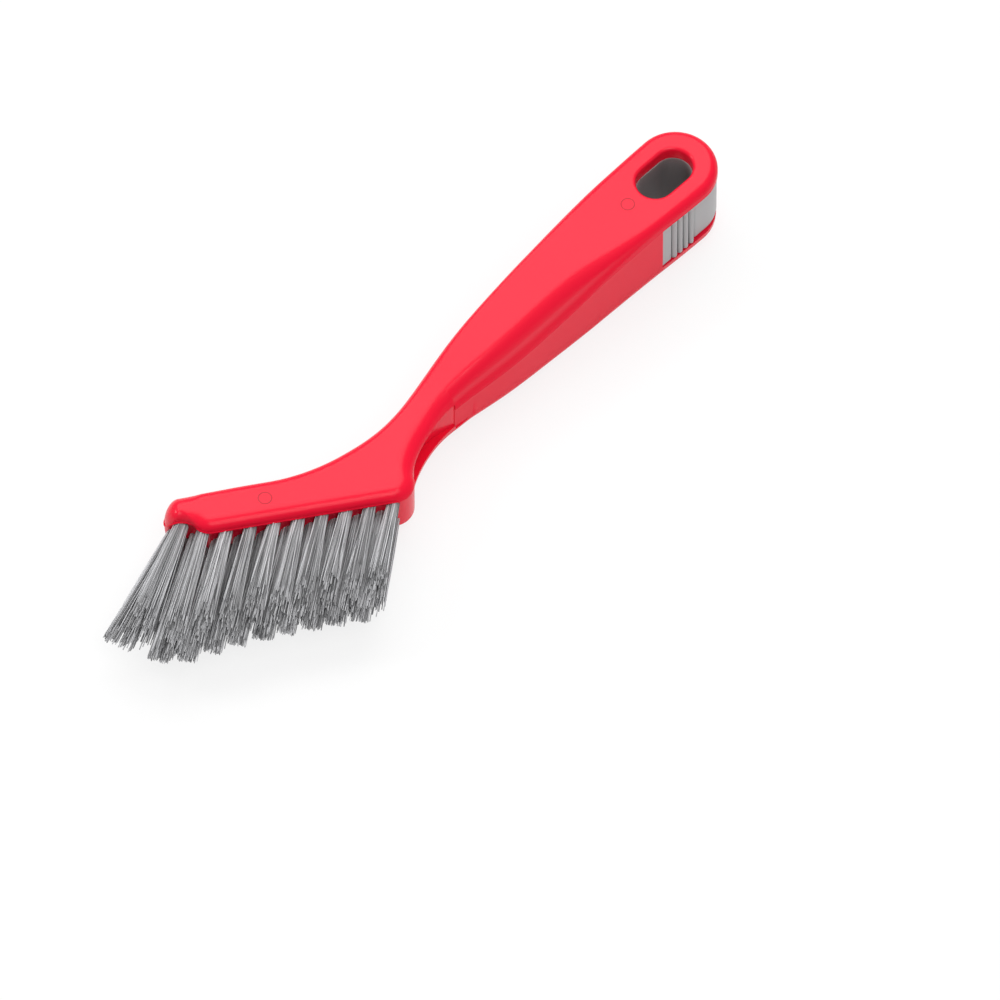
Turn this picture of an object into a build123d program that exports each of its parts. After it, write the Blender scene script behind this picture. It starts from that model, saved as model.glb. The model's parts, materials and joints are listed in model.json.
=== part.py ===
"""Grout brush: a one-piece plastic handle and head with a soft end grip and three rows of bristle tufts.

Lengths are in millimetres. The brush lies on its broad side: +Z is up through its thickness, and +X runs
along the handle to its hanging end. Until the last step everything is drawn round the centre of the
hanging hole, with the underside of the handle at zero height. The finished pieces are then moved so that
the origin is under the middle of the brush. The head has directions of its own: s runs along the bristle
face from its rear corner to its front, and m runs from the bristle face to the back of the head.
"""

from collections import Counter
from math import asin, cos, pi, radians, sin, sqrt
import os

from build123d import *

# Handle, seen from above
END_WIDTH = 23.4
CAP_SETBACK = 4.3              # from the hanging hole's centre to the centre of the round end
HANDLE_REACH = 90.0            # from the hanging hole's centre to the inner crest of the neck
NECK_CREST = 8.7               # that crest's distance from the handle's centre line
NECK_LENGTH = 28.6             # from that crest to the rear corner of the head
OUTER_SIDE_SHARES = ((0.148, 0.97), (0.411, 0.925), (0.689, 0.765), (0.87, 0.58))
OUTER_NECK_SHARES = ((0.189, 0.265), (0.769, 0.043), (1.311, 0.205))
INNER_SIDE_SHARES = ((0.13, 0.965), (0.389, 0.9), (0.6, 0.87), (0.79, 0.835))
INNER_CURVE_SHARES = (-0.048, 1.17)

# Head, seen from above
HEAD_TILT = 34.0               # degrees between the bristle face and the handle
HEAD_DROP = 22.8               # rear corner of the head, below the handle's centre line
HEAD_LENGTH = 69.0
HEAD_DEPTH = 12.8
HEAD_REAR_RADIUS = 6.0
HEAD_NOSE_RADIUS = 4.7
NOSE_CORNER_RADIUS = 3.0
SCOOP_LENGTH = 9.0             # the front of the bristle face curves back towards the nose
BACK_START_SHARE = 0.571       # where the straight back of the head begins, along its length

# Thickness, seen from the side
END_THICKNESS = 27.5
HEAD_THICKNESS = 17.0
FULL_THICKNESS_REACH = 35.0    # how far from the hanging hole's centre the full thickness goes
TAPER_PAST_NECK = 10.0         # the thickness tapers to the head's a little past the neck's crest
TAPER_SHARES = ((0.286, 0.385), (0.646, 0.79))
EDGE_RADIUS = 2.6

# Side walls, between the two broad faces
WALL_INSET = 0.4
WALL_TOP_SHARES = ((0.1, 0.7), (0.35, 0.476), (0.46, 0.342), (0.58, 0.24), (0.81, 0.19), (1.0, 0.22))
WALL_FLOOR_EDGE = 3.6          # thickness of the lower edge under the wall
POCKET_EDGE = 3.4              # thickness of the two edges over and under the pocket in the neck
POCKET_FLOOR_SHARES = ((0.0, 0.93), (0.315, 0.8), (0.566, 1.04), (0.74, 1.5), (0.865, 2.1))

# Hanging end
FLANGE_THICKNESS = 4.3
INSERT_START = 11.5            # the soft insert begins here, on the neck side of the hanging hole
INSERT_INSET = 1.3             # the insert's sides lie inside the flanges by this
INSERT_PROUD = 0.15            # and its round end stands out by this
INSERT_WALL = 2.4
INSERT_EDGE_RADIUS = 0.8
HOLE_RADIUS = 5.45
HOLE_STRAIGHT = 6.8            # straight length of the hanging hole's sides
HOLE_RIM_RADIUS = 1.0
LINER_STEP = 0.25              # the liner narrows the hole by this all round
LINER_WALL = 1.2
BRIDGE_WIDTH = 5.0
BRIDGE_HEIGHT = 8.0
PAD_LENGTH = 3.8
RIB_PITCH = 2.15
RIB_COUNT = 4
GROOVE_RADIUS = 0.45
MOULD_GAP = 0.05               # clearance between pieces that were moulded or pressed together

# Moulding marks on the upper broad face
MARK_RADIUS = 2.0
MARK_DEPTH = 0.15
HANDLE_MARK_REACH = 14.2
HEAD_MARK_SHARES = (0.6, 0.5)

# Bristle holes
ROW_SPACING = 3.8
ROW_TUFTS = 10
REAR_TUFT = 6.8                # rear tuft of the upper and lower rows, from the head's rear corner
FRONT_TUFT = 1.25              # their front tuft, before the end of the scoop
NOSE_TUFT = 0.9                # front tuft of the middle row, past the end of the scoop
FACE_RECESS = 0.6
FACE_LIP = 2.5
TUFT_HOLE_RADIUS = 1.6
TUFT_HOLE_DEPTH = 7.0
PLUG_BELOW_FACE = 0.3

# Bristles: the tufts lean towards the front of the head, and more so at the nose
REAR_LEAN = 21.0
LEAN_GAIN = 3.0
NOSE_FAN = 10.5
FAN_POWER = 17
REAR_LENGTH = 35.8
LENGTH_GAIN = 10.0
LENGTH_POWER = 4
NOSE_CUT = 5.0                 # the foremost tufts are cut shorter again
TRIM_SLOPE = 2.7               # the rows are trimmed to a V, longest in the middle
TRIM_ROUND = 0.8
STRANDS = 14
STRAND_WIDTH = 0.34
PATTERN_SHARE = 0.75           # reach of the strands' centres, as a share of the hole's radius
TIP_GAP = 0.8                  # between the tips of neighbouring tufts along a row
ROW_GAP = 0.2                  # and between the rows
STRAND_SINK = 0.5              # how far a strand reaches into its plug

# Anchors
ANCHOR_THICKNESS = 0.3
ANCHOR_HEIGHT = 1.8
ANCHOR_BITE = 0.25             # how far each end bites into the wall of the hole
ANCHOR_RAISE = 1.5             # above the bottom of the hole

OVERRUN = 5.0                  # how far cutting shapes run past what they cut

MID_HEIGHT = END_THICKNESS / 2
END_RADIUS = END_WIDTH / 2
HEAD_BACKSET = HANDLE_REACH + NECK_LENGTH
HEAD_THICKNESS_REACH = HANDLE_REACH + TAPER_PAST_NECK
TILT = radians(HEAD_TILT)
SCOOP_RISE = HEAD_DEPTH - HEAD_NOSE_RADIUS - NOSE_CORNER_RADIUS
SCOOP_START = HEAD_LENGTH - NOSE_CORNER_RADIUS - SCOOP_LENGTH
SCOOP_RADIUS = (SCOOP_LENGTH**2 + SCOOP_RISE**2) / (4 * SCOOP_RISE)
SCOOP_TURN = asin(SCOOP_LENGTH / 2 / SCOOP_RADIUS)
FACE_LENGTH = SCOOP_START + 2 * SCOOP_RADIUS * SCOOP_TURN
TUFT_PITCH = (FACE_LENGTH - FRONT_TUFT - REAR_TUFT) / (ROW_TUFTS - 1)
ALONG = Vector(-cos(TILT), sin(TILT), 0)
BACKWARD = Vector(sin(TILT), cos(TILT), 0)
UP = Vector(0, 0, 1)
GOLDEN_ANGLE = pi * (3 - sqrt(5))
BROAD_SHARE = 0.5              # a broad face's normal points up or down by at least this share


def head_point(s, m, z=0.0):
    """Point on the head, s along the bristle face and m towards its back."""
    corner = Vector(-HEAD_BACKSET, -HEAD_DROP, z)
    return corner + ALONG * s + BACKWARD * m


def face_place(distance):
    """Place (s, m) on the bristle face at a distance along it: straight, then the scoop's two arcs."""
    turn = (distance - SCOOP_START) / SCOOP_RADIUS
    if turn <= 0:
        return distance, 0.0
    if turn <= SCOOP_TURN:
        return SCOOP_START + SCOOP_RADIUS * sin(turn), SCOOP_RADIUS * (1 - cos(turn))
    left = 2 * SCOOP_TURN - turn
    end = SCOOP_START + SCOOP_LENGTH
    if left <= 0:
        return end - SCOOP_RADIUS * left, SCOOP_RISE
    return end - SCOOP_RADIUS * sin(left), SCOOP_RISE - SCOOP_RADIUS * (1 - cos(left))


def arc_about(centre, radius, from_angle, to_angle):
    """Arc on the head round a centre given in head coordinates, with angles in degrees from s to m."""
    points = []
    for angle in (from_angle, (from_angle + to_angle) / 2, to_angle):
        turn = radians(angle)
        points.append(head_point(centre[0] + radius * cos(turn), centre[1] + radius * sin(turn)))
    return ThreePointArc(*points)


def smooth(points, from_direction, to_direction):
    """Curve through points that sets out and arrives in the two directions."""
    return Spline(*points, tangents=(from_direction, to_direction), tangent_scalars=(1, 1))


def scoop_edges(shift=0.0):
    """The straight and scooped bristle face as edges, moved towards the back of the head by shift."""
    start = head_point(HEAD_REAR_RADIUS, shift)
    bend = head_point(SCOOP_START, shift)
    middle = head_point(SCOOP_START + SCOOP_LENGTH / 2, shift + SCOOP_RISE / 2)
    end = head_point(SCOOP_START + SCOOP_LENGTH, shift + SCOOP_RISE)
    first_arc = TangentArc(bend, middle, tangent=ALONG)
    return [Line(start, bend), first_arc, TangentArc(middle, end, tangent=first_arc % 1)]


def outer_side(inset=0.0):
    """The side away from the bristles, from the back of the head to the round end."""
    back_start = head_point(HEAD_LENGTH * BACK_START_SHARE, HEAD_DEPTH)
    neck = [(-HANDLE_REACH - NECK_LENGTH * x, END_RADIUS * y) for x, y in OUTER_NECK_SHARES[::-1]]
    handle = [(-HANDLE_REACH * x, END_RADIUS * y) for x, y in OUTER_SIDE_SHARES[::-1]]
    points = [Vector(x, y, 0) for x, y in neck + handle]
    cap_top = Vector(CAP_SETBACK, END_RADIUS, 0)
    side = smooth([back_start, *points, cap_top], -ALONG, Vector(1, 0, 0))
    return side.moved(Pos(0, -inset, 0))


def inner_side(inset=0.0):
    """The side of the bristles, from the round end to the rear corner of the head, as two curves."""
    cap_bottom = Vector(CAP_SETBACK, -END_RADIUS, 0)
    points = [Vector(-HANDLE_REACH * x, -END_RADIUS * y, 0) for x, y in INNER_SIDE_SHARES]
    crest = Vector(-HANDLE_REACH, -NECK_CREST, 0)
    curve = head_point(HEAD_LENGTH * INNER_CURVE_SHARES[0], HEAD_DEPTH * INNER_CURVE_SHARES[1])
    towards_head = Vector(-1, 0, 0)
    handle = smooth([cap_bottom, *points, crest], towards_head, towards_head)
    neck = smooth([crest, curve, head_point(0, HEAD_REAR_RADIUS)], towards_head, -BACKWARD)
    return [edge.moved(Pos(0, inset, 0)) for edge in (handle, neck)]


def outline_edges():
    """Edges of the handle and head seen from above, in order round the brush."""
    cap_tip = Vector(CAP_SETBACK + END_RADIUS, 0, 0)
    corner_centre = (HEAD_LENGTH - NOSE_CORNER_RADIUS, SCOOP_RISE + NOSE_CORNER_RADIUS)
    nose_centre = (HEAD_LENGTH - HEAD_NOSE_RADIUS, HEAD_DEPTH - HEAD_NOSE_RADIUS)
    outer = outer_side()
    inner = inner_side()
    return [
        ThreePointArc(outer @ 1, cap_tip, inner[0] @ 0),
        *inner,
        arc_about((HEAD_REAR_RADIUS, HEAD_REAR_RADIUS), HEAD_REAR_RADIUS, 180, 270),
        *scoop_edges(),
        arc_about(corner_centre, NOSE_CORNER_RADIUS, -90, 0),
        arc_about(nose_centre, HEAD_NOSE_RADIUS, 0, 90),
        Line(head_point(HEAD_LENGTH - HEAD_NOSE_RADIUS, HEAD_DEPTH), outer @ 0),
        outer,
    ]


def outline_face():
    """The plan shape of the handle and head as one face at zero height."""
    return make_face(Wire(outline_edges()))


def taper_points():
    """Points (x, half thickness) of the broad face from the head to the full thickness."""
    rise = (END_THICKNESS - HEAD_THICKNESS) / 2
    run = HEAD_THICKNESS_REACH - FULL_THICKNESS_REACH
    points = [(-HEAD_THICKNESS_REACH, HEAD_THICKNESS / 2)]
    points += [(-HEAD_THICKNESS_REACH + run * x, HEAD_THICKNESS / 2 + rise * y) for x, y in TAPER_SHARES]
    points.append((-FULL_THICKNESS_REACH, END_THICKNESS / 2))
    return points


def broad_face_edges(side, from_x, to_x, lift=0.0):
    """Edges of one broad face in side view, side 1 above and -1 below, raised by lift."""
    points = [Vector(x, 0, MID_HEIGHT + side * half + lift) for x, half in taper_points()]
    flat = Vector(1, 0, 0)
    edges = [smooth(points, flat, flat)]
    if from_x < points[0].X:
        edges.insert(0, Line(Vector(from_x, 0, points[0].Z), points[0]))
    edges.append(Line(points[-1], Vector(to_x, 0, points[-1].Z)))
    return edges


def across(edges):
    """Solid swept across the whole brush from a closed loop of edges in the XZ plane."""
    face = make_face(Wire(edges))
    return extrude(Pos(0, -HEAD_BACKSET, 0) * face, amount=2 * HEAD_BACKSET, dir=(0, 1, 0))


def slab(low, high):
    """The whole plan of the brush as a slab between two heights."""
    return Pos(0, 0, low) * extrude(outline_face(), amount=high - low)


def rounded_blank():
    """Handle and head with their thickness and rounded edges, before anything is cut."""
    front = -2 * HEAD_BACKSET
    end = CAP_SETBACK + END_RADIUS + OVERRUN
    low = broad_face_edges(-1, front, end)
    high = broad_face_edges(1, front, end)
    ends = [Line(low[0] @ 0, high[0] @ 0), Line(low[-1] @ 1, high[-1] @ 1)]
    blank = (slab(0, END_THICKNESS) & across(low + high + ends)).solids()[0]
    broad = [face for face in blank.faces() if abs(face.normal_at().Z) > BROAD_SHARE]
    uses = Counter(edge for face in broad for edge in face.edges())
    return blank.fillet(EDGE_RADIUS, [edge for edge, count in uses.items() if count == 1])


def wall_band():
    """Cut that sets the side walls back between the two broad faces."""
    run = HEAD_THICKNESS_REACH
    top = [Vector(-run * x, 0, MID_HEIGHT * (1 + z)) for x, z in reversed(WALL_TOP_SHARES)]
    low = broad_face_edges(-1, -run, top[-1].X, WALL_FLOOR_EDGE)
    ends = [Line(low[0] @ 0, top[0]), Line(low[-1] @ 1, top[-1])]
    band = across(low + [Spline(*top)] + ends)
    outer = outer_side(WALL_INSET)
    inner = inner_side(WALL_INSET)
    ends = [Line(outer @ 1, inner[0] @ 0), Line(inner[1] @ 1, outer @ 0)]
    core = extrude(make_face(Wire([outer, *inner] + ends)), amount=END_THICKNESS)
    return band - core


def neck_pocket():
    """Cut between the two edges in the inner curve of the neck."""
    floor = [Vector(-HANDLE_REACH - NECK_LENGTH * x, -NECK_CREST * y, 0) for x, y in POCKET_FLOOR_SHARES]
    outside = head_point(-OVERRUN, -OVERRUN)
    edges = [
        Spline(*floor),
        Line(floor[-1], outside),
        Line(outside, Vector(floor[0].X, outside.Y, 0)),
        Line(Vector(floor[0].X, outside.Y, 0), floor[0]),
    ]
    height = HEAD_THICKNESS - 2 * POCKET_EDGE
    return Pos(0, 0, MID_HEIGHT - height / 2) * extrude(make_face(Wire(edges)), amount=height)


def face_recess():
    """Cut that leaves a thin lip above and below the bristle face."""
    edges = scoop_edges(FACE_RECESS)
    start = edges[0] @ 0
    end = edges[-1] @ 1
    outer_start = start - BACKWARD * OVERRUN
    outer_end = end - BACKWARD * OVERRUN * 2
    edges += [Line(end, outer_end), Line(outer_end, outer_start), Line(outer_start, start)]
    height = HEAD_THICKNESS - 2 * FACE_LIP
    return Pos(0, 0, MID_HEIGHT - height / 2) * extrude(make_face(Wire(edges)), amount=height)


def stadium(radius, low, high):
    """Solid with straight sides and round ends, round the axis of the hanging hole."""
    shape = SlotCenterToCenter(HOLE_STRAIGHT, 2 * radius)
    return Pos(0, 0, low) * extrude(shape, amount=high - low)


def tongue(half_width, cap_centre, low, high):
    """Solid with a round end at cap_centre and straight sides that run from there towards the neck."""
    length = INSERT_START + OVERRUN + cap_centre
    straight = Pos(cap_centre - length / 2, 0, 0) * Rectangle(length, 2 * half_width)
    shape = straight + Pos(cap_centre, 0, 0) * Circle(half_width)
    return Pos(0, 0, low) * extrude(shape, amount=high - low)


def end_space(start, low, high):
    """Block that holds the hanging end from x = start outwards, between two heights."""
    length = CAP_SETBACK + END_RADIUS + OVERRUN - start
    return Pos(start + length / 2, 0, (low + high) / 2) * Box(length, 2 * END_WIDTH, high - low)


def core_tongue(grow):
    """The hard core between the flanges, grown by a clearance."""
    half_width = END_RADIUS - INSERT_INSET - INSERT_WALL + grow
    return tongue(half_width, CAP_SETBACK, 0, END_THICKNESS)


def bridge(grow):
    """The soft bridge between liner and band, grown by a clearance."""
    start = HOLE_STRAIGHT / 2 + HOLE_RADIUS + LINER_WALL / 2
    end = CAP_SETBACK + END_RADIUS - INSERT_INSET - INSERT_WALL / 2
    shape = Box(end - start, BRIDGE_WIDTH + 2 * grow, BRIDGE_HEIGHT + 2 * grow)
    return Pos((start + end) / 2, 0, MID_HEIGHT) * shape


def tuft_distances(row):
    """Distances along the bristle face of one row's tufts, row 1 above, 0 in the middle and -1 below."""
    first = REAR_TUFT if row else REAR_TUFT + TUFT_PITCH / 2
    last = FACE_LENGTH - FRONT_TUFT if row else FACE_LENGTH + NOSE_TUFT
    return [first + (last - first) * i / (ROW_TUFTS - 1) for i in range(ROW_TUFTS)]


def tuft_frame(row, distance):
    """Plane at a tuft's root: local x along the row, y up through the brush and z out along the tuft."""
    s, m = face_place(distance)
    share = distance / FACE_LENGTH
    lean = radians(REAR_LEAN + LEAN_GAIN * share + NOSE_FAN * share**FAN_POWER)
    outward = ALONG * sin(lean) - BACKWARD * cos(lean)
    origin = head_point(s, m + FACE_RECESS, MID_HEIGHT + row * ROW_SPACING)
    return Plane(origin=origin, x_dir=UP.cross(outward), z_dir=outward)


def anchor(frame, grow=0.0):
    """Flat metal anchor across the bottom of one tuft's hole, grown by a clearance."""
    width = 2 * (TUFT_HOLE_RADIUS + ANCHOR_BITE + grow)
    height = ANCHOR_HEIGHT + 2 * grow
    middle = -TUFT_HOLE_DEPTH + ANCHOR_RAISE + ANCHOR_HEIGHT / 2
    return frame * Pos(0, 0, middle) * Box(width, ANCHOR_THICKNESS + 2 * grow, height)


def tuft_hole(frame):
    """Cut for one tuft's hole, with the slits that its anchor bites into."""
    length = TUFT_HOLE_DEPTH + OVERRUN
    hole = frame * Pos(0, 0, OVERRUN - length / 2) * Cylinder(TUFT_HOLE_RADIUS, length)
    return hole + anchor(frame, MOULD_GAP)


def tuft(frame, row, distance):
    """One bristle tuft: strands that fan out from a plug folded round its anchor."""
    depth = TUFT_HOLE_DEPTH - PLUG_BELOW_FACE - MOULD_GAP
    middle = -PLUG_BELOW_FACE - depth / 2
    plug = frame * Pos(0, 0, middle) * Cylinder(TUFT_HOLE_RADIUS - MOULD_GAP, depth)
    plug -= anchor(frame, MOULD_GAP)
    start = -PLUG_BELOW_FACE - STRAND_SINK
    share = distance / FACE_LENGTH
    length = REAR_LENGTH + LENGTH_GAIN * share**LENGTH_POWER - NOSE_CUT * share**FAN_POWER
    root_reach = TUFT_HOLE_RADIUS * PATTERN_SHARE
    tip_along = (TUFT_PITCH * cos(radians(REAR_LEAN)) - TIP_GAP - sqrt(2) * STRAND_WIDTH) / 2
    tip_across = (ROW_SPACING - ROW_GAP - sqrt(2) * STRAND_WIDTH) / 2
    strands = []
    for i in range(STRANDS):
        reach = sqrt((i + 0.5) / STRANDS)
        x = reach * cos(i * GOLDEN_ANGLE)
        y = reach * sin(i * GOLDEN_ANGLE)
        height = row * ROW_SPACING + y * tip_across
        trim = TRIM_SLOPE * (sqrt(height**2 + TRIM_ROUND**2) - TRIM_ROUND)
        tip = Vector(x * tip_along, y * tip_across, length - trim)
        root = Vector(x * root_reach, y * root_reach, start)
        run = tip - root
        section = Plane(origin=root, x_dir=Vector(1, 0, -run.X / run.Z), z_dir=run)
        strands.append(frame * extrude(section * Rectangle(STRAND_WIDTH, STRAND_WIDTH), amount=run.length))
    return plug.fuse(*strands)


def handle_body(frames):
    """Handle and head with walls, pocket, recess, fork, hanging hole, marks and bristle holes."""
    body = rounded_blank()
    body -= wall_band()
    body -= neck_pocket()
    body -= face_recess()
    low = FLANGE_THICKNESS
    high = END_THICKNESS - FLANGE_THICKNESS
    liner_radius = HOLE_RADIUS - LINER_STEP + LINER_WALL
    body -= end_space(-INSERT_START, low, high) - core_tongue(0)
    body -= stadium(liner_radius, low, high)
    body -= bridge(MOULD_GAP)
    body -= stadium(HOLE_RADIUS, -OVERRUN, END_THICKNESS + OVERRUN)
    rims = []
    for edge in body.edges():
        box = edge.bounding_box()
        flat = box.size.Z < MOULD_GAP and min(box.min.Z, END_THICKNESS - box.max.Z) < MOULD_GAP
        reach = HOLE_STRAIGHT / 2 + HOLE_RADIUS + MOULD_GAP
        if flat and box.min.X > -reach and box.max.X < reach and abs(box.max.Y) < reach:
            if max(abs(box.min.Y), abs(box.max.Y)) < HOLE_RADIUS + MOULD_GAP:
                rims.append(edge)
    body = fillet(rims, HOLE_RIM_RADIUS)
    mark = Cylinder(MARK_RADIUS, 2 * MARK_DEPTH)
    head_mark = head_point(HEAD_LENGTH * HEAD_MARK_SHARES[0], HEAD_DEPTH * HEAD_MARK_SHARES[1])
    body -= Pos(-HANDLE_MARK_REACH, 0, END_THICKNESS) * mark
    body -= Pos(head_mark.X, head_mark.Y, MID_HEIGHT + HEAD_THICKNESS / 2) * mark
    return body.cut(*[tuft_hole(frame) for frame in frames])


def grip_insert():
    """Soft insert: an outer band with a pad and ribs, and a liner in the hanging hole."""
    low = FLANGE_THICKNESS + MOULD_GAP
    high = END_THICKNESS - FLANGE_THICKNESS - MOULD_GAP
    half_width = END_RADIUS - INSERT_INSET
    band = tongue(half_width, CAP_SETBACK + INSERT_INSET + INSERT_PROUD, low, high)
    band &= end_space(-INSERT_START + MOULD_GAP, low, high)
    rims = []
    for edge in band.edges():
        box = edge.bounding_box()
        long = max(box.size.X, box.size.Y)
        if box.size.Z < MOULD_GAP and box.size.X > MOULD_GAP and long > INSERT_WALL:
            rims.append(edge)
    band = fillet(rims, INSERT_EDGE_RADIUS)
    band -= core_tongue(MOULD_GAP)
    grooves = []
    for i in range(RIB_COUNT + 1):
        x = -INSERT_START + PAD_LENGTH + RIB_PITCH * i
        for side in (1, -1):
            groove = Cylinder(GROOVE_RADIUS, END_THICKNESS)
            grooves.append(Pos(x, side * half_width, MID_HEIGHT) * groove)
    band = band.cut(*grooves)
    outer = stadium(HOLE_RADIUS - LINER_STEP + LINER_WALL - MOULD_GAP, low, high)
    liner = outer - stadium(HOLE_RADIUS - LINER_STEP, 0, END_THICKNESS)
    return band + liner + bridge(0)


def pieces():
    """Every piece by its node's name, drawn round the centre of the hanging hole."""
    rows = (("upper", 1), ("middle", 0), ("lower", -1))
    frames = []
    tufts = {}
    anchors = {}
    for name, row in rows:
        bars = []
        for number, distance in enumerate(tuft_distances(row), start=1):
            frame = tuft_frame(row, distance)
            frames.append(frame)
            tufts[f"tuft_{name}_{number:02d}"] = tuft(frame, row, distance)
            bars.append(anchor(frame))
        anchors[f"anchors_{name}"] = Compound(children=bars)
    return {"handle_body": handle_body(frames), "grip_insert": grip_insert(), **tufts, **anchors}


def main():
    """Build every piece, move the set so that the origin is under its middle, and export it."""
    os.makedirs("parts", exist_ok=True)
    made = pieces()
    boxes = [shape.bounding_box() for shape in made.values()]
    low = Vector(*(min(getattr(box.min, axis) for box in boxes) for axis in "XYZ"))
    high = Vector(*(max(getattr(box.max, axis) for box in boxes) for axis in "XYZ"))
    shift = Vector(-(low.X + high.X) / 2, -(low.Y + high.Y) / 2, -low.Z)
    for name, shape in made.items():
        export_step(Pos(shift.X, shift.Y, shift.Z) * shape, f"parts/{name}.step")
    size = high - low
    print("size", round(size.X, 2), round(size.Y, 2), round(size.Z, 2))
    print("hanging hole", round(shift.X, 2), round(shift.Y, 2), round(shift.Z, 2))


if __name__ == "__main__":
    main()
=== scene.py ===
"""Grout brush for its picture: moulded handle and head, soft ribbed grip and bristle tufts.

Lengths in the settings are in metres, as Blender keeps them. Shapes are worked out in millimetres in the
brush's own directions and turned to metres when their mesh is made. x runs along the handle to its hanging
end, y away from the bristles and z up through the brush as it lies on its broad side. The head has
directions of its own: s runs along the bristle face from its rear corner to its front, and m from the
bristle face to the back of the head.
"""

import json
import math

import bmesh
import bpy
import numpy as np
from bpy.props import FloatProperty, FloatVectorProperty, IntProperty, PointerProperty
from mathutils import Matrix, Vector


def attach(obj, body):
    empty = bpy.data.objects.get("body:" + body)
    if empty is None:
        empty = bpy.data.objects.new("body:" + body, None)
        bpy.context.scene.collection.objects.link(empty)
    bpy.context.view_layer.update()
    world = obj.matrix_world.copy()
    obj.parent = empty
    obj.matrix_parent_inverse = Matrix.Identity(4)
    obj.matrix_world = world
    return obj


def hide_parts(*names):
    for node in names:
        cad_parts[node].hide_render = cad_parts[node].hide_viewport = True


bl_info = {
    "name": "Grout brush",
    "version": (1, 0, 0),
    "blender": (4, 5, 0),
    "location": "View3D > Sidebar > Grout Brush",
    "description": "Dresses a moulded grout brush: handle, ribbed grip, bristle tufts and stage",
    "category": "Add Mesh",
}

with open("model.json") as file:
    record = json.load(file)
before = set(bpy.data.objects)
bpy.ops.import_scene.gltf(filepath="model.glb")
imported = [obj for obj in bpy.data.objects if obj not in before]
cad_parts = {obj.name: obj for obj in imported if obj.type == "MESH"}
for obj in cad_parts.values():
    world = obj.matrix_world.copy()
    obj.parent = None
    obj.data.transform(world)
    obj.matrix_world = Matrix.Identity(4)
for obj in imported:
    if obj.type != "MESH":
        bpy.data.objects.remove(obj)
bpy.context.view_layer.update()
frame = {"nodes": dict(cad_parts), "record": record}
MM = 0.001
ROOT_BODY = "root"

# All sizes below are in millimetres, and places are measured from the hanging hole's centre, unless a
# comment says otherwise. Sizes that the brush's solids share come first.
HOLE = next(m["pos_m"] for m in frame["record"]["mounts"] if m["name"] == "hanging_hole")
HOLE_X, HOLE_Y, MID_HEIGHT = (value / MM for value in HOLE)
END_THICKNESS = 2 * MID_HEIGHT

# Handle and head from above
HANDLE_REACH = 90.0            # from the hanging hole's centre to the inner crest of the neck
NECK_LENGTH = 28.6             # from that crest to the rear corner of the head
HEAD_DROP = 22.8               # rear corner of the head, below the handle's centre line
HEAD_TILT = math.radians(34.0)
HEAD_LENGTH = 69.0
HEAD_DEPTH = 12.8
NOSE_RADIUS = 4.7
NOSE_CORNER = 3.0
SCOOP_LENGTH = 9.0             # the front of the bristle face curves back towards the nose

# Bristle holes
FACE_RECESS = 0.6
TUFT_HOLE_RADIUS = 1.6
ROW_SPACING = 3.8
ROW_TUFTS = 10
REAR_TUFT = 6.8
FRONT_TUFT = 1.25
NOSE_TUFT = 0.9
ANCHOR_TOP = -3.7              # the filaments begin here, over the anchors

# Bristles: their lean in degrees, and their lengths
REAR_LEAN = 21.0
LEAN_GAIN = 3.0
NOSE_FAN = 10.5
FAN_POWER = 17
REAR_LENGTH = 35.8
LENGTH_GAIN = 10.0
LENGTH_POWER = 4
NOSE_CUT = 5.0
TRIM_SLOPE = 2.7
TRIM_ROUND = 0.8

# Hanging end
END_RADIUS = 11.7
CAP_SETBACK = 4.3
FLANGE_THICKNESS = 4.3
INSERT_START = 11.5
INSERT_INSET = 1.3
INSERT_PROUD = 0.15
INSERT_WALL = 2.4
MOULD_GAP = 0.05
LINER_STEP = 0.25
LINER_WALL = 1.2
HOLE_STRAIGHT = 6.8
PAD_LENGTH = 3.8
RIB_PITCH = 2.15
RIB_COUNT = 4

SCOOP_RISE = HEAD_DEPTH - NOSE_RADIUS - NOSE_CORNER
SCOOP_START = HEAD_LENGTH - NOSE_CORNER - SCOOP_LENGTH
SCOOP_RADIUS = (SCOOP_LENGTH**2 + SCOOP_RISE**2) / (4 * SCOOP_RISE)
SCOOP_TURN = math.asin(SCOOP_LENGTH / 2 / SCOOP_RADIUS)
FACE_LENGTH = SCOOP_START + 2 * SCOOP_RADIUS * SCOOP_TURN
TUFT_PITCH = (FACE_LENGTH - FRONT_TUFT - REAR_TUFT) / (ROW_TUFTS - 1)
ALONG = np.array([-math.cos(HEAD_TILT), math.sin(HEAD_TILT), 0.0])
BACKWARD = np.array([math.sin(HEAD_TILT), math.cos(HEAD_TILT), 0.0])
UP = np.array([0.0, 0.0, 1.0])
HEAD_CORNER = np.array([HOLE_X - HANDLE_REACH - NECK_LENGTH, HOLE_Y - HEAD_DROP, 0.0])
GOLDEN_ANGLE = math.pi * (3 - math.sqrt(5))


def srgb(hex_colour):
    """Linear red, green, blue and alpha of an sRGB colour written as six hex digits."""
    parts = np.array([int(hex_colour[i:i + 2], 16) for i in (0, 2, 4)]) / 255
    linear = np.where(parts <= 0.04045, parts / 12.92, ((parts + 0.055) / 1.055) ** 2.4)
    return (*linear, 1.0)


class HandleSettings(bpy.types.PropertyGroup):
    colour: FloatVectorProperty(
        name="Colour", description="Colour of the moulded handle and head",
        subtype="COLOR", size=3, min=0, max=1, default=srgb("EC1434")[:3],
    )
    gloss_roughness: FloatProperty(
        name="Gloss roughness", description="Roughness of the polished broad faces",
        subtype="FACTOR", min=0, max=1, default=0.25,
    )


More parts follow.
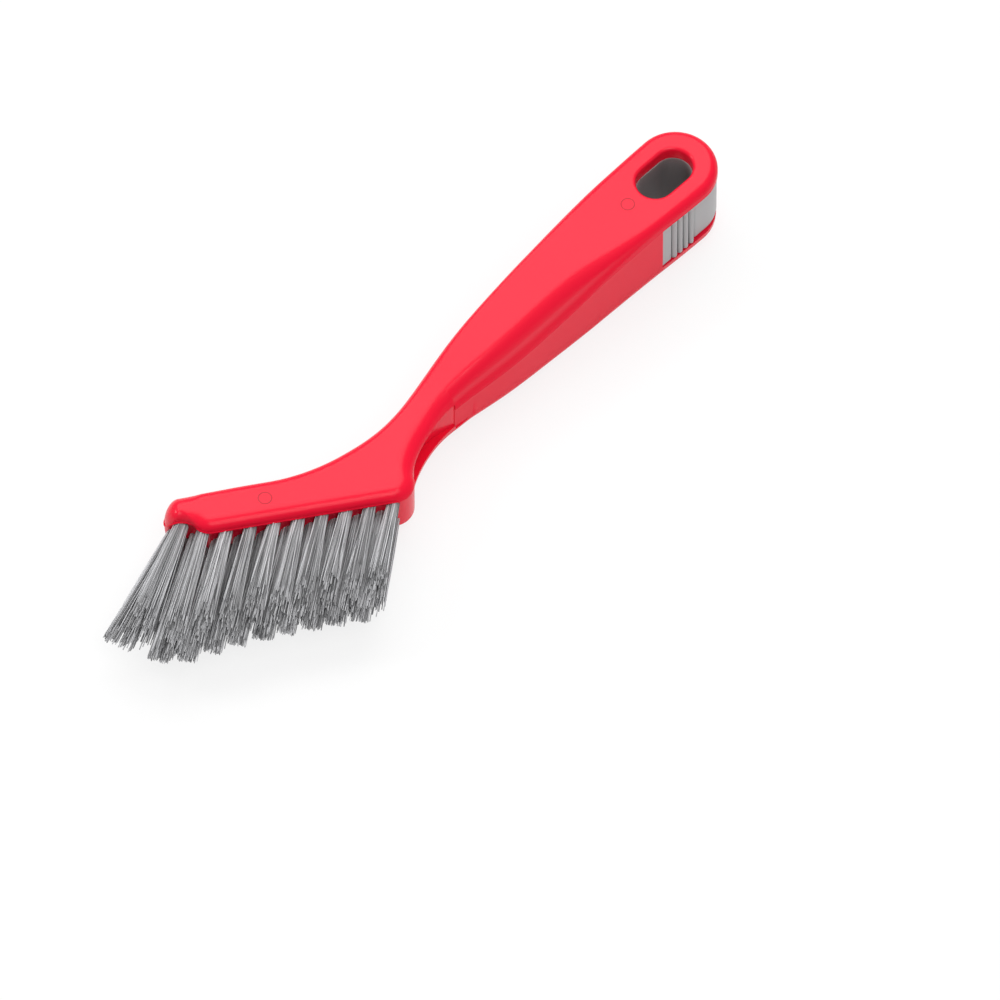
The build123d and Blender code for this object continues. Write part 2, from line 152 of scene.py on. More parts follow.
class GripSettings(bpy.types.PropertyGroup):
    colour: FloatVectorProperty(
        name="Colour", description="Colour of the soft grip",
        subtype="COLOR", size=3, min=0, max=1, default=srgb("AAA9AA")[:3],
    )
    rib_height: FloatProperty(
        name="Rib height", description="How far the grip's ribs stand out from its smooth part",
        subtype="DISTANCE", unit="LENGTH", min=0, default=0.0009,
    )
    edge_radius: FloatProperty(
        name="Edge radius", description="Rounding of the grip's upper and lower edges",
        subtype="DISTANCE", unit="LENGTH", min=0.0001, default=0.0009,
    )


class BristleSettings(bpy.types.PropertyGroup):
    colour: FloatVectorProperty(
        name="Colour", description="Middle colour of the bristles",
        subtype="COLOR", size=3, min=0, max=1, default=srgb("A0A0A2")[:3],
    )
    count: IntProperty(
        name="Filaments", description="Filaments in each tuft", min=8, max=150, default=110,
    )
    thickness: FloatProperty(
        name="Thickness", description="Thickness of one filament",
        subtype="DISTANCE", unit="LENGTH", min=0.0001, default=0.0003,
    )
    seed: IntProperty(
        name="Seed", description="Start of the random draws that vary the filaments", min=0, default=7,
    )


class StageSettings(bpy.types.PropertyGroup):
    elevation: FloatProperty(
        name="Elevation", description="Height angle of the camera above the floor",
        subtype="ANGLE", unit="ROTATION", default=math.radians(57.5),
    )
    azimuth: FloatProperty(
        name="Azimuth", description="Turn of the camera round the brush",
        subtype="ANGLE", unit="ROTATION", default=math.radians(-45.3),
    )
    view_width: FloatProperty(
        name="View width", description="Width that the picture takes in at the brush",
        subtype="DISTANCE", unit="LENGTH", min=0.01, default=0.2729,
    )
    distance: FloatProperty(
        name="Distance", description="Distance from the camera to the brush",
        subtype="DISTANCE", unit="LENGTH", min=0.1, default=10.0,
    )
    floor_colour: FloatVectorProperty(
        name="Floor colour", description="Colour of the floor",
        subtype="COLOR", size=3, min=0, max=1, default=srgb("F3F3F3")[:3],
    )


def add_node(tree, kind, links=None, **settings):
    """Adds one node: settings with a socket's name set its value, others set the node's own fields.

    links gives, for each input socket, the output socket that feeds it.
    """
    node = tree.nodes.new(kind)
    for name, value in settings.items():
        socket = name.replace("_", " ")
        if socket in node.inputs:
            node.inputs[socket].default_value = value
        else:
            setattr(node, name, value)
    for name, source in (links or {}).items():
        tree.links.new(source, node.inputs[name])
    return node


def new_material(name):
    """A material with an empty node tree and its output node."""
    material = bpy.data.materials.new(name)
    material.use_nodes = True
    material.node_tree.nodes.clear()
    output = material.node_tree.nodes.new("ShaderNodeOutputMaterial")
    return material, material.node_tree, output


def add_piece(name, points, faces, material, replaced):
    """Makes a smooth mesh object from points in millimetres, in its place, and rides it on the brush."""
    mesh = bpy.data.meshes.new(name)
    mesh.from_pydata((np.asarray(points).reshape(-1, 3) * MM).tolist(), [], faces)
    mesh.update()
    mesh.polygons.foreach_set("use_smooth", np.ones(len(mesh.polygons), dtype=bool))
    mesh.materials.append(material)
    piece = bpy.data.objects.new(name, mesh)
    bpy.context.scene.collection.objects.link(piece)
    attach(piece, ROOT_BODY)
    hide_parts(*replaced)
    return piece


def face_place(distance):
    """Place on the bristle face at a distance along it: straight, then the scoop's two equal arcs."""
    turn = (distance - SCOOP_START) / SCOOP_RADIUS
    if turn <= 0:
        return distance, 0.0
    if turn <= SCOOP_TURN:
        return SCOOP_START + SCOOP_RADIUS * math.sin(turn), SCOOP_RADIUS * (1 - math.cos(turn))
    left = 2 * SCOOP_TURN - turn
    end = SCOOP_START + SCOOP_LENGTH
    if left <= 0:
        return end - SCOOP_RADIUS * left, SCOOP_RISE
    return end - SCOOP_RADIUS * math.sin(left), SCOOP_RISE - SCOOP_RADIUS * (1 - math.cos(left))


def tuft_distances(row):
    """Distances along the bristle face of one row's tufts."""
    first = REAR_TUFT if row else REAR_TUFT + TUFT_PITCH / 2
    last = FACE_LENGTH - FRONT_TUFT if row else FACE_LENGTH + NOSE_TUFT
    return first + (last - first) * np.arange(ROW_TUFTS) / (ROW_TUFTS - 1)


def tuft_frame(row, distance):
    """A tuft's root and its three directions: along the row, up through the brush and out of the head."""
    s, m = face_place(distance)
    share = distance / FACE_LENGTH
    lean = math.radians(REAR_LEAN + LEAN_GAIN * share + NOSE_FAN * share**FAN_POWER)
    outward = ALONG * math.sin(lean) - BACKWARD * math.cos(lean)
    root = HEAD_CORNER + ALONG * s + BACKWARD * (m + FACE_RECESS) + UP * (MID_HEIGHT + row * ROW_SPACING)
    return root, np.array([np.cross(UP, outward), UP, outward])


# Outline of the handle and head from above, and the number of points on each part of it
OUTER_SIDE_SHARES = ((0.148, 0.97), (0.411, 0.925), (0.689, 0.765), (0.87, 0.58))
OUTER_NECK_SHARES = ((0.189, 0.265), (0.769, 0.043), (1.311, 0.205))
INNER_SIDE_SHARES = ((0.13, 0.965), (0.389, 0.9), (0.6, 0.87), (0.79, 0.835))
INNER_CURVE_SHARES = (-0.048, 1.17)
NECK_CREST = 8.7
BACK_START_SHARE = 0.571
HEAD_REAR_RADIUS = 6.0
NOSE_REACH = 4.6               # the front of the nose is a quarter of an ellipse as long as this
CAP_POINTS = 49
INNER_POINTS = 161
NECK_POINTS = 61
REAR_POINTS = 19
FACE_POINTS = 91
CORNER_POINTS = 13
NOSE_POINTS = 25
BACK_POINTS = 17
OUTER_POINTS = 191

# Thickness of the handle and head, seen from the side
HEAD_THICKNESS = 17.0
FULL_THICKNESS_REACH = 35.0
TAPER_PAST_NECK = 10.0
HEAD_THICKNESS_REACH = HANDLE_REACH + TAPER_PAST_NECK
TAPER_SHARES = ((0.286, 0.385), (0.646, 0.79))
CURVE_POINTS = 300             # points of a curve from which heights are read

# Roundings of the broad faces' edges
END_ROUND = 2.6
HANDLE_ROUND = 6.2
NECK_ROUND = 4.8
BACK_ROUND = 3.2
END_LOW_ROUND = 3.4
NOSE_ROUND = 4.2
NOSE_DROP = 7.3                # height of the rounding there, which makes the nose a dome
FACE_ROUND = 3.5
REAR_ROUND_START = 0.2         # share of the rear corner after which its rounding narrows
ROUND_FADE_END = -HANDLE_REACH / 2
FLARE = 0.5                    # how far the rounding runs out towards the crease over a dull wall
FLARE_START = 0.55             # share of the rounding's height after which the flare grows

# Side walls and the pocket in the neck
WALL_INSET = 0.4
WALL_TOP_SHARES = ((0.1, 0.7), (0.35, 0.476), (0.46, 0.342), (0.58, 0.24), (0.81, 0.19), (1.0, 0.22))
POCKET_EDGE = 3.4
POCKET_FLOOR_SHARES = ((0.0, 0.93), (0.315, 0.8), (0.566, 1.04), (0.74, 1.5), (0.865, 2.1))
CREASE_FADE = 24.0             # the outer wall's crease begins this gently
LOW_EDGE_FADE = 8.0            # and the lower edge's setback so
POCKET_EDGE_SHARE = 0.45       # of the neck's curve, where the edge over the pocket has its full height
POCKET_POINTS = 400

# Hanging hole
HANG_RADIUS = 5.45
HANG_RIM = 1.0
HANG_FAN = 6.1                 # how far the columns that fan round the hanging hole reach past its end
FAN_X = -HOLE_STRAIGHT / 2 - HANG_FAN
RIM_STEPS = 6

# Lips of the bristle face, and the dome of the nose
FACE_LIP = 2.6
BEAD = 0.22
NOSE_BEAD = 0.3
BEAD_DROPS = (0.2, 0.5, 0.75)  # depths under the crease of the bead's top, its underside and the wall
NO_BEAD_SCALE = 0.04           # where there is no bead, these depths shrink to this share
BEAD_GROWTH_START = 0.85       # share of the face after which the bead grows
BEAD_END = 0.4                 # share of the nose at which it has died away
FACE_SLOPE = 0.9
DOME_MIDDLE = (4.3, 5.0)       # from the front and the back of the head to the highest point of the dome
DOME_SHARE = 0.93              # how far the rounding reaches towards that point
DOME_REACH = (4.8, 8.5)        # within the first distance the dome counts fully, past the second not at all
NOSE_TURN_START = 0.25         # share of the nose's turn after which its dome gets lower
BACK_FALL = 0.3                # what is left of the dome where the back begins
BACK_FALL_END = 0.8            # share of the back's straight part at which none is left

# Where the rounding mirrors more or less than its slope alone would make it
STREAK_PLACE = 0.5             # a bright streak runs at this share of the rounding's height
STREAK_WIDTH = 0.09
STREAK_SHINE = 1.6
DOME_SHINE = 1.3
SLOPE_POWER = 1.5              # how late the loss of mirror gloss sets in as the rounding gets steeper

# How the skin of the handle is put together
NECK_FACING = (-112.0, -119.0)  # places on the back that face the two ends of the head's rear corner
JOINT_GAP = 1e-6
TIE_BREAK = 1e-9               # keeps columns at one place in order
HAIR = 0.01                    # distance between two rows that a fold needs
ROUND_STEPS = 15
FLAT_STEPS = 5
CREASE_ROWS = 2                # rows at the crease that mirror as little as the end of the rounding


def head_plan(s, m):
    """Plan points of the head, s along the bristle face and m towards its back."""
    corner = HEAD_CORNER[:2] - (HOLE_X, HOLE_Y)
    return corner + np.multiply.outer(s, ALONG[:2]) + np.multiply.outer(m, BACKWARD[:2])


def clamped_curve(points, start, end, count):
    """Points along the smooth curve through the given ones that sets out and arrives in two directions.

    Each stretch is a cubic in the chord length. The slopes at the given points are those that keep the
    curvature continuous, which is one linear equation for each of them.
    """
    points = np.asarray(points, dtype=float)
    step = np.linalg.norm(np.diff(points, axis=0), axis=1)
    rise = np.diff(points, axis=0) / step[:, None]
    inner = np.arange(1, len(points) - 1)
    matrix = np.eye(len(points))
    matrix[inner, inner - 1] = step[1:]
    matrix[inner, inner] = 2 * (step[:-1] + step[1:])
    matrix[inner, inner + 1] = step[:-1]
    right = np.empty_like(points)
    right[0], right[-1] = start, end
    right[1:-1] = 3 * (step[1:, None] * rise[:-1] + step[:-1, None] * rise[1:])
    slope = np.linalg.solve(matrix, right)
    knots = np.concatenate([[0], np.cumsum(step)])
    place = np.linspace(0, knots[-1], count)
    i = np.clip(np.searchsorted(knots, place, side="right") - 1, 0, len(step) - 1)
    t = ((place - knots[i]) / step[i])[:, None]
    h = step[i][:, None]
    ends = points[i] * (1 + 2 * t) * (1 - t) ** 2 + points[i + 1] * t**2 * (3 - 2 * t)
    return ends + h * (slope[i] * t * (1 - t) ** 2 - slope[i + 1] * t**2 * (1 - t))


def half_thickness(x):
    """Half of the brush's thickness at places along it: it tapers smoothly from the handle to the head."""
    run = HEAD_THICKNESS_REACH - FULL_THICKNESS_REACH
    thin = HEAD_THICKNESS / 2
    shares = ((0, 0), *TAPER_SHARES, (1, 1))
    points = [(-HEAD_THICKNESS_REACH + run * u, thin + (MID_HEIGHT - thin) * v) for u, v in shares]
    line = clamped_curve(points, (1, 0), (1, 0), CURVE_POINTS)
    return np.interp(x, line[:, 0], line[:, 1])


def wall_top(x):
    """Height of the crease over the dull side wall, at places along the brush."""
    points = np.array([(-HEAD_THICKNESS_REACH * u, MID_HEIGHT * (1 + v)) for u, v in WALL_TOP_SHARES[::-1]])
    ends = [step / np.linalg.norm(step) for step in (points[1] - points[0], points[-1] - points[-2])]
    line = clamped_curve(points, *ends, CURVE_POINTS)
    return np.interp(x, line[:, 0], line[:, 1])


def pocket_depth(points):
    """How far the pocket in the neck goes in from the points of the outline."""
    floor = np.array([(-HANDLE_REACH - NECK_LENGTH * u, -NECK_CREST * v) for u, v in POCKET_FLOOR_SHARES])
    ends = [step / np.linalg.norm(step) for step in (floor[1] - floor[0], floor[-1] - floor[-2])]
    line = clamped_curve(floor, *ends, POCKET_POINTS)
    gaps = np.linalg.norm(points[:, None, :] - line[None, :, :], axis=2)
    return gaps.min(axis=1)


def split_line(line, x):
    """Cuts a line where it passes x. The point at the cut belongs to both parts."""
    i = np.nonzero(np.diff(np.sign(line[:, 0] - x)))[0][0]
    t = (x - line[i, 0]) / (line[i + 1, 0] - line[i, 0])
    cut = line[i] + (line[i + 1] - line[i]) * t
    return np.vstack([line[:i + 1], cut]), np.vstack([cut, line[i + 1:]])


def arc(centre, radii, from_turn, to_turn, count):
    """Points of an elliptic arc whose turns are given in degrees."""
    turn = np.radians(np.linspace(from_turn, to_turn, count))
    return centre[0] + radii[0] * np.cos(turn), centre[1] + radii[1] * np.sin(turn)


def outline():
    """The brush's outline from above as sections of points, clockwise from the hanging end's round cap."""
    side = [(-HANDLE_REACH * u, -END_RADIUS * v) for u, v in INNER_SIDE_SHARES]
    crest = (-HANDLE_REACH, -NECK_CREST)
    bend = head_plan(HEAD_LENGTH * INNER_CURVE_SHARES[0], HEAD_DEPTH * INNER_CURVE_SHARES[1])
    inner = clamped_curve([(CAP_SETBACK, -END_RADIUS), *side, crest], (-1, 0), (-1, 0), INNER_POINTS)
    inner_end, inner_wall = split_line(inner, -INSERT_START)
    rear_start = head_plan(0, HEAD_REAR_RADIUS)
    neck = clamped_curve([crest, bend, rear_start], (-1, 0), -BACKWARD[:2], NECK_POINTS)
    face = np.array([face_place(d) for d in np.linspace(HEAD_REAR_RADIUS, FACE_LENGTH, FACE_POINTS)])
    nose_height = HEAD_DEPTH - NOSE_RADIUS
    neck_back = [(-HANDLE_REACH - NECK_LENGTH * u, END_RADIUS * v) for u, v in OUTER_NECK_SHARES[::-1]]
    back_side = [(-HANDLE_REACH * u, END_RADIUS * v) for u, v in OUTER_SIDE_SHARES[::-1]]
    back_start = head_plan(HEAD_LENGTH * BACK_START_SHARE, HEAD_DEPTH)
    outer_points = [back_start, *neck_back, *back_side, (CAP_SETBACK, END_RADIUS)]
    outer = clamped_curve(outer_points, -ALONG[:2], (1, 0), OUTER_POINTS)
    outer_wall, outer_end = split_line(outer, -INSERT_START)
    back = np.linspace(HEAD_LENGTH - NOSE_REACH, HEAD_LENGTH * BACK_START_SHARE, BACK_POINTS)
    rear = arc((HEAD_REAR_RADIUS, HEAD_REAR_RADIUS), (HEAD_REAR_RADIUS,) * 2, 180, 270, REAR_POINTS)
    corner = arc((HEAD_LENGTH - NOSE_CORNER, nose_height), (NOSE_CORNER,) * 2, -90, 0, CORNER_POINTS)
    nose = arc((HEAD_LENGTH - NOSE_REACH, nose_height), (NOSE_REACH, NOSE_RADIUS), 0, 90, NOSE_POINTS)
    return {
        "cap": np.column_stack(arc((CAP_SETBACK, 0), (END_RADIUS,) * 2, 90, -90, CAP_POINTS)),
        "inner_end": inner_end,
        "inner_wall": inner_wall,
        "neck": neck,
        "rear": head_plan(*rear),
        "face": head_plan(face[:, 0], face[:, 1]),
        "corner": head_plan(*corner),
        "nose": head_plan(*nose),
        "back": head_plan(back, np.full(len(back), HEAD_DEPTH)),
        "outer_wall": outer_wall,
        "outer_end": outer_end,
    }


def ramp(value, start, end):
    """Smooth step from 0 at start to 1 at end."""
    share = np.clip((value - start) / (end - start), 0, 1)
    return share * share * (3 - 2 * share)


def dome_pull(points):
    """For points round the nose: the way and the distance to the dome's middle, and how much it counts."""
    away = head_plan(HEAD_LENGTH - DOME_MIDDLE[0], HEAD_DEPTH - DOME_MIDDLE[1]) - points
    gap = np.linalg.norm(away, axis=1)
    return away / gap[:, None], gap, 1 - ramp(gap, *DOME_REACH)


PROFILE = (
    "round", "drop", "crease", "bead", "recess", "slope",
    "low_recess", "low_crease", "low_round", "low_drop", "dull",
)


def section_profile(name, points):
    """Sizes of the side's profile for each point of one section of the outline.

    round and drop are the width and height of the upper rounding, crease the height where it ends, bead
    how far the lip there stands out, recess and slope the depth of what lies under it and the height over
    which that is reached, low_recess the lower edge's setback, low_crease the height where it begins,
    low_round and low_drop the lower rounding and dull how matt the wall is.
    """
    x = points[:, 0]
    count = len(points)
    top = MID_HEIGHT + half_thickness(x)
    low = MID_HEIGHT - half_thickness(x)
    share = np.linspace(0, 1, count)
    widest = BACK_ROUND if name.startswith(("outer", "back")) else HANDLE_ROUND
    neck = min(widest, NECK_ROUND)
    handle_round = widest + (END_ROUND - widest) * ramp(x, ROUND_FADE_END, -INSERT_START)
    body_round = neck + (handle_round - neck) * ramp(x, -HEAD_THICKNESS_REACH, ROUND_FADE_END)
    values = {key: np.zeros(count) for key in PROFILE}
    values.update(round=body_round, drop=body_round.copy(), low_crease=low + END_ROUND)
    values.update(low_round=np.full(count, END_ROUND), low_drop=np.full(count, END_ROUND))
    values["crease"] = top - values["drop"]
    if name in ("cap", "inner_end", "outer_end"):
        values["crease"] = top - FLANGE_THICKNESS
        values["low_crease"] = low + FLANGE_THICKNESS
        values["recess"] = np.full(count, INSERT_INSET + INSERT_WALL)
        values["low_recess"] = np.full(count, WALL_INSET)
        values["low_round"] = np.full(count, END_LOW_ROUND)
        values["low_drop"] = np.full(count, END_LOW_ROUND)
    elif name in ("inner_wall", "outer_wall"):
        start = -HANDLE_REACH if name == "inner_wall" else -HEAD_THICKNESS_REACH
        fade = ramp(x, start - CREASE_FADE, start) if name == "outer_wall" else np.ones(count)
        values["crease"] = (top - BACK_ROUND) * (1 - fade) + wall_top(x) * fade
        full = top - values["crease"]
        near = ramp(x, ROUND_FADE_END, -INSERT_START)
        values["drop"] = full * (1 - near) + END_ROUND * near
        values["recess"] = WALL_INSET * fade
        values["low_recess"] = WALL_INSET * fade * ramp(x, start, start + LOW_EDGE_FADE)
        values["low_round"] += (END_LOW_ROUND - END_ROUND) * near
        values["low_drop"] = values["low_round"].copy()
        values["low_crease"] = low + values["low_drop"]
        values["dull"] = fade
    elif name == "neck":
        height = HEAD_THICKNESS / 2 - POCKET_EDGE
        start = top[0] - wall_top(x[0])
        values["crease"] = np.full(count, MID_HEIGHT + height)
        values["low_crease"] = np.full(count, MID_HEIGHT - height)
        values["drop"] = start + (POCKET_EDGE - start) * ramp(share, 0, POCKET_EDGE_SHARE)
        values["recess"] = pocket_depth(points)
    elif name == "rear":
        values["drop"] = np.full(count, POCKET_EDGE)
        values["round"] = NECK_ROUND + (FACE_ROUND - NECK_ROUND) * ramp(share, REAR_ROUND_START, 1)
        values["crease"] = top - POCKET_EDGE
    elif name == "face":
        values["round"] = np.full(count, FACE_ROUND)
        values["drop"] = np.full(count, FACE_LIP)
        values["crease"] = top - FACE_LIP
        values["low_crease"] = low + FACE_LIP
        values["bead"] = BEAD + (NOSE_BEAD - BEAD) * ramp(share, BEAD_GROWTH_START, 1)
        values["recess"] = np.full(count, FACE_RECESS)
        values["slope"] = np.full(count, FACE_SLOPE)
    elif name == "corner":
        turn = ramp(share, 0, 1)
        values["round"] = np.full(count, FACE_ROUND)
        values["drop"] = FACE_LIP + (NOSE_DROP - FACE_LIP) * turn
        values["crease"] = top - values["drop"]
        values["bead"] = np.full(count, NOSE_BEAD)
        values["recess"] = FACE_RECESS * (1 - turn)
        values["slope"] = FACE_SLOPE * (1 - turn)
        values["low_round"] = END_ROUND + (NOSE_ROUND - END_ROUND) * share
        values["low_drop"] = END_ROUND + (NOSE_DROP - END_ROUND) * turn
        values["low_crease"] = low + values["low_drop"]
    elif name in ("nose", "back"):
        nose = name == "nose"
        turned = ramp(share, NOSE_TURN_START, 1)
        full = 1 - (1 - BACK_FALL) * turned if nose else BACK_FALL * (1 - ramp(share, 0, BACK_FALL_END))
        values["round"] = np.full(count, BACK_ROUND)
        values["drop"] = BACK_ROUND + (NOSE_DROP - BACK_ROUND) * full
        values["crease"] = top - values["drop"]
        values["bead"] = NOSE_BEAD * (1 - ramp(share, 0, BEAD_END)) * nose
        values["low_round"] = END_ROUND + (NOSE_ROUND - END_ROUND) * full
        values["low_drop"] = END_ROUND + (NOSE_DROP - END_ROUND) * full
        values["low_crease"] = low + values["low_drop"]
    if name in ("face", "corner", "nose", "back"):
        gap, weight = dome_pull(points)[1:]
        values["round"] = values["round"] * (1 - weight) + gap * DOME_SHARE * weight
    return np.column_stack([values[key] for key in PROFILE])


def inward_directions(sections):
    """Directions into the brush at the outline's points, turned to one focus round the nose.

    Points of two sections that coincide share one direction.
    """
    parts = []
    for part in sections.values():
        chord = np.diff(part, axis=0)
        chord /= np.linalg.norm(chord, axis=1)[:, None]
        run = np.vstack([1.5 * chord[0] - 0.5 * chord[1], (chord[:-1] + chord[1:]) / 2,
                         1.5 * chord[-1] - 0.5 * chord[-2]])
        parts.append(run / np.linalg.norm(run, axis=1)[:, None])
    run = np.vstack(parts)
    points = np.vstack(list(sections.values()))
    joint = np.nonzero(np.linalg.norm(np.roll(points, -1, axis=0) - points, axis=1) < JOINT_GAP)[0]
    after = (joint + 1) % len(points)
    run[joint] = run[after] = (run[joint] + run[after]) / 2
    normal = np.column_stack([run[:, 1], -run[:, 0]])
    pull, _, weight = dome_pull(points)
    mixed = normal * (1 - weight[:, None]) + pull * weight[:, None]
    return mixed / np.linalg.norm(mixed, axis=1)[:, None]


def facing_columns(sections):
    """Matches the columns of the bristle side with those of the back, from the hanging end to the nose.

    Each side is measured by its arc length between landmarks that face each other. Both measures are then
    merged, and at each of their values the two columns reached so far are a pair. Returns the pairs' two
    index lists, the merged measure and the columns left over, which fan round the hanging hole.
    """
    sizes = [len(part) for part in sections.values()]
    start = dict(zip(sections, np.cumsum([0, *sizes])))
    points = np.vstack(list(sections.values()))
    inner = np.arange(start["inner_end"], start["nose"])
    outer = np.arange(len(points) - 1, start["nose"] - 1, -1)
    inner = inner[points[inner, 0] < FAN_X]
    outer = outer[points[outer, 0] < FAN_X]
    along = (points - head_plan(0, 0)) @ ALONG[:2]
    face = np.arange(start["face"], start["corner"])
    wall = np.arange(start["outer_wall"], start["outer_end"])
    across_head = [face[np.abs(along[face] - s).argmin()]
                   for s in (HEAD_LENGTH * BACK_START_SHARE, HEAD_LENGTH - NOSE_REACH)]
    across_neck = [wall[np.abs(points[wall, 0] - x).argmin()] for x in (-HANDLE_REACH, *NECK_FACING)]
    marks = (
        [inner[0], start["inner_wall"], start["neck"], start["rear"], start["face"], *across_head, inner[-1]],
        [outer[0], start["outer_end"], *across_neck, start["outer_wall"], start["back"], start["nose"]],
    )
    measures = []
    for side, places in zip((inner, outer), marks):
        steps = np.linalg.norm(np.diff(points[side], axis=0), axis=1)
        length = np.concatenate([[0], np.cumsum(steps)])
        reached = length[np.abs(np.array(places) - side[0])]
        measures.append(np.interp(length, reached, np.arange(len(places))) + TIE_BREAK * np.arange(len(side)))
    merged = np.sort(np.concatenate(measures))
    pairs = [side[np.maximum(np.searchsorted(measure, merged, side="right") - 1, 0)]
             for side, measure in zip((inner, outer), measures)]
    fan = np.concatenate([np.arange(outer[0] + 1, len(points)), np.arange(inner[0])])
    return *pairs, merged, fan


def fan_directions(points):
    """For points round the hanging end: the nearest point on the hole's axis line and the way out to them."""
    half = HOLE_STRAIGHT / 2
    x = points[:, 0]
    turned = np.clip((-half - x) / HANG_FAN, 0, 1) * math.pi / 2
    direction = np.column_stack([-np.sin(turned), np.sign(points[:, 1]) * np.cos(turned)])
    turn = np.arctan2(points[:, 1], x - CAP_SETBACK)
    cap = x >= CAP_SETBACK
    direction[cap] = np.column_stack([np.cos(turn), np.sin(turn)])[cap]
    middle = np.column_stack([np.clip(x * half / CAP_SETBACK, -half, half), np.zeros(len(x))])
    return middle, direction


def upper_rounding(points, value, top):
    """Setback and height of the upper rounding's rows, how far each has fallen, and its turns.

    The rounding is a quarter of an ellipse: as a row's turn grows, its setback falls with the sine and its
    depth under the face grows with the cosine. Where the crease cuts the rounding short, the turn ends
    there. Over a dull wall it also flares out a little towards the crease.
    """
    last = np.arccos(np.clip(1 - (top - value["crease"]) / value["drop"], 0, 1))
    turns = np.linspace(0, 1, ROUND_STEPS)[:, None] * last
    height = top - value["drop"] * (1 - np.cos(turns))
    fallen = (top - height) / value["drop"]
    full = value["dull"] * (1 - ramp(points[:, 0], ROUND_FADE_END, -INSERT_START))
    flare = FLARE * full
    setback = (value["round"] - flare) * (1 - np.sin(turns)) + flare * (1 - ramp(fallen, FLARE_START, 1))
    streak = np.exp(-(((fallen - STREAK_PLACE) / STREAK_WIDTH) ** 2))
    steep = (1 - DOME_SHINE * dome_pull(points)[2]) * np.sin(turns) ** SLOPE_POWER
    return setback, height, steep - STREAK_SHINE * full * streak


def flat_rows(ends, rim, side):
    """Rows of one broad face between its middle and its rim: straight in plan, at the face's height."""
    shares = np.linspace(0, 1, FLAT_STEPS + 1)[:-1, None, None]
    plan = ends * (1 - shares) + rim * shares
    return np.dstack([plan, MID_HEIGHT + side * half_thickness(plan[..., 0])])


def handle_rows(points, inward, ends, profile):
    """Rows of the handle's skin from the middle of the upper face over the side to the lower one.

    Each row lies inside the outline by its setback, at its height. The rows are, in order: the upper flat,
    the upper rounding, the crease, the bead's two edges, the step under it, the wall, the lower edge, the
    lower rounding and the lower flat. A known fault: the last rows of the lower rounding come after the
    lower flat and make a hidden second layer just inside it. Returns the points, how dull each row is and
    how much of its mirror gloss each row of the rounding loses.
    """
    value = dict(zip(PROFILE, profile.T))
    half = half_thickness(points[:, 0])
    top = MID_HEIGHT + half
    low = MID_HEIGHT - half
    setback, height, loss = upper_rounding(points, value, top)
    edge = setback[-1]
    beaded = value["bead"] > 0
    drops = [drop * np.where(beaded, 1, NO_BEAD_SCALE) for drop in BEAD_DROPS]
    lip = np.where(beaded, -value["bead"], edge)
    under = value["recess"]
    first = np.where(value["slope"] > 0, under / 2, under)
    low_turns = np.linspace(1, 0, ROUND_STEPS)[:, None] * math.pi / 2 + 0 * half
    low_setback = value["low_recess"] + (value["low_round"] - value["low_recess"]) * (1 - np.sin(low_turns))
    low_height = low + value["low_drop"] * (1 - np.cos(low_turns))
    wall = [
        (under, value["crease"] - drops[2] - value["slope"] - HAIR),
        (under, np.full(len(points), MID_HEIGHT)),
        (under, value["low_crease"] + 2 * HAIR),
    ]
    step = [
        (edge, value["crease"]),
        (lip, value["crease"] - drops[0]),
        (lip, value["crease"] - drops[1]),
        (first, value["crease"] - drops[2]),
    ]
    sides = [
        *zip(setback, height), *step, *wall,
        (value["low_recess"], value["low_crease"]),
        *zip(low_setback, low_height),
    ]
    side = np.array([np.column_stack([points + inward * inset[:, None], z]) for inset, z in sides])
    upper = flat_rows(ends, side[0, :, :2], 1)
    lower = flat_rows(ends, side[-1, :, :2], -1)[::-1]
    rows = np.concatenate([upper, side[:-FLAT_STEPS], lower, side[-FLAT_STEPS:]])
    dull = np.zeros(rows.shape[:2])
    wall_start = FLAT_STEPS + ROUND_STEPS + len(step)
    dull[wall_start:wall_start + len(wall)] = value["dull"]
    lost = np.zeros(rows.shape[:2])
    crease_end = FLAT_STEPS + ROUND_STEPS + CREASE_ROWS
    lost[FLAT_STEPS:crease_end] = np.vstack([loss, np.ones((CREASE_ROWS, len(points)))])
    return rows, dull, lost


def bore_rows(middle, direction, reaches):
    """Rows down the hanging hole: for each (reach, height) pair, the stadium's points at that reach."""
    return np.array([np.column_stack([middle + direction * reach, np.full(len(middle), z)])
                     for reach, z in reaches])


def grid_faces(grid, start=0):
    """Quads between the rows of a grid of points whose columns close into a ring."""
    rows, columns = grid.shape[:2]
    index = start + np.arange(rows * columns).reshape(rows, columns)
    after = np.roll(index, -1, axis=1)
    return np.stack([index[:-1], after[:-1], after[1:], index[1:]], axis=-1).reshape(-1, 4).tolist()


def seal(mesh, gap=1e-7, crease=35.0):
    """Joins points that coincide, drops faces without area, turns faces outward and marks sharp edges."""
    shape = bmesh.new()
    shape.from_mesh(mesh)
    bmesh.ops.remove_doubles(shape, verts=shape.verts, dist=gap)
    bmesh.ops.dissolve_degenerate(shape, edges=shape.edges, dist=gap)
    bmesh.ops.recalc_face_normals(shape, faces=shape.faces)
    shape.to_mesh(mesh)
    shape.free()
    mesh.set_sharp_from_angle(angle=math.radians(crease))


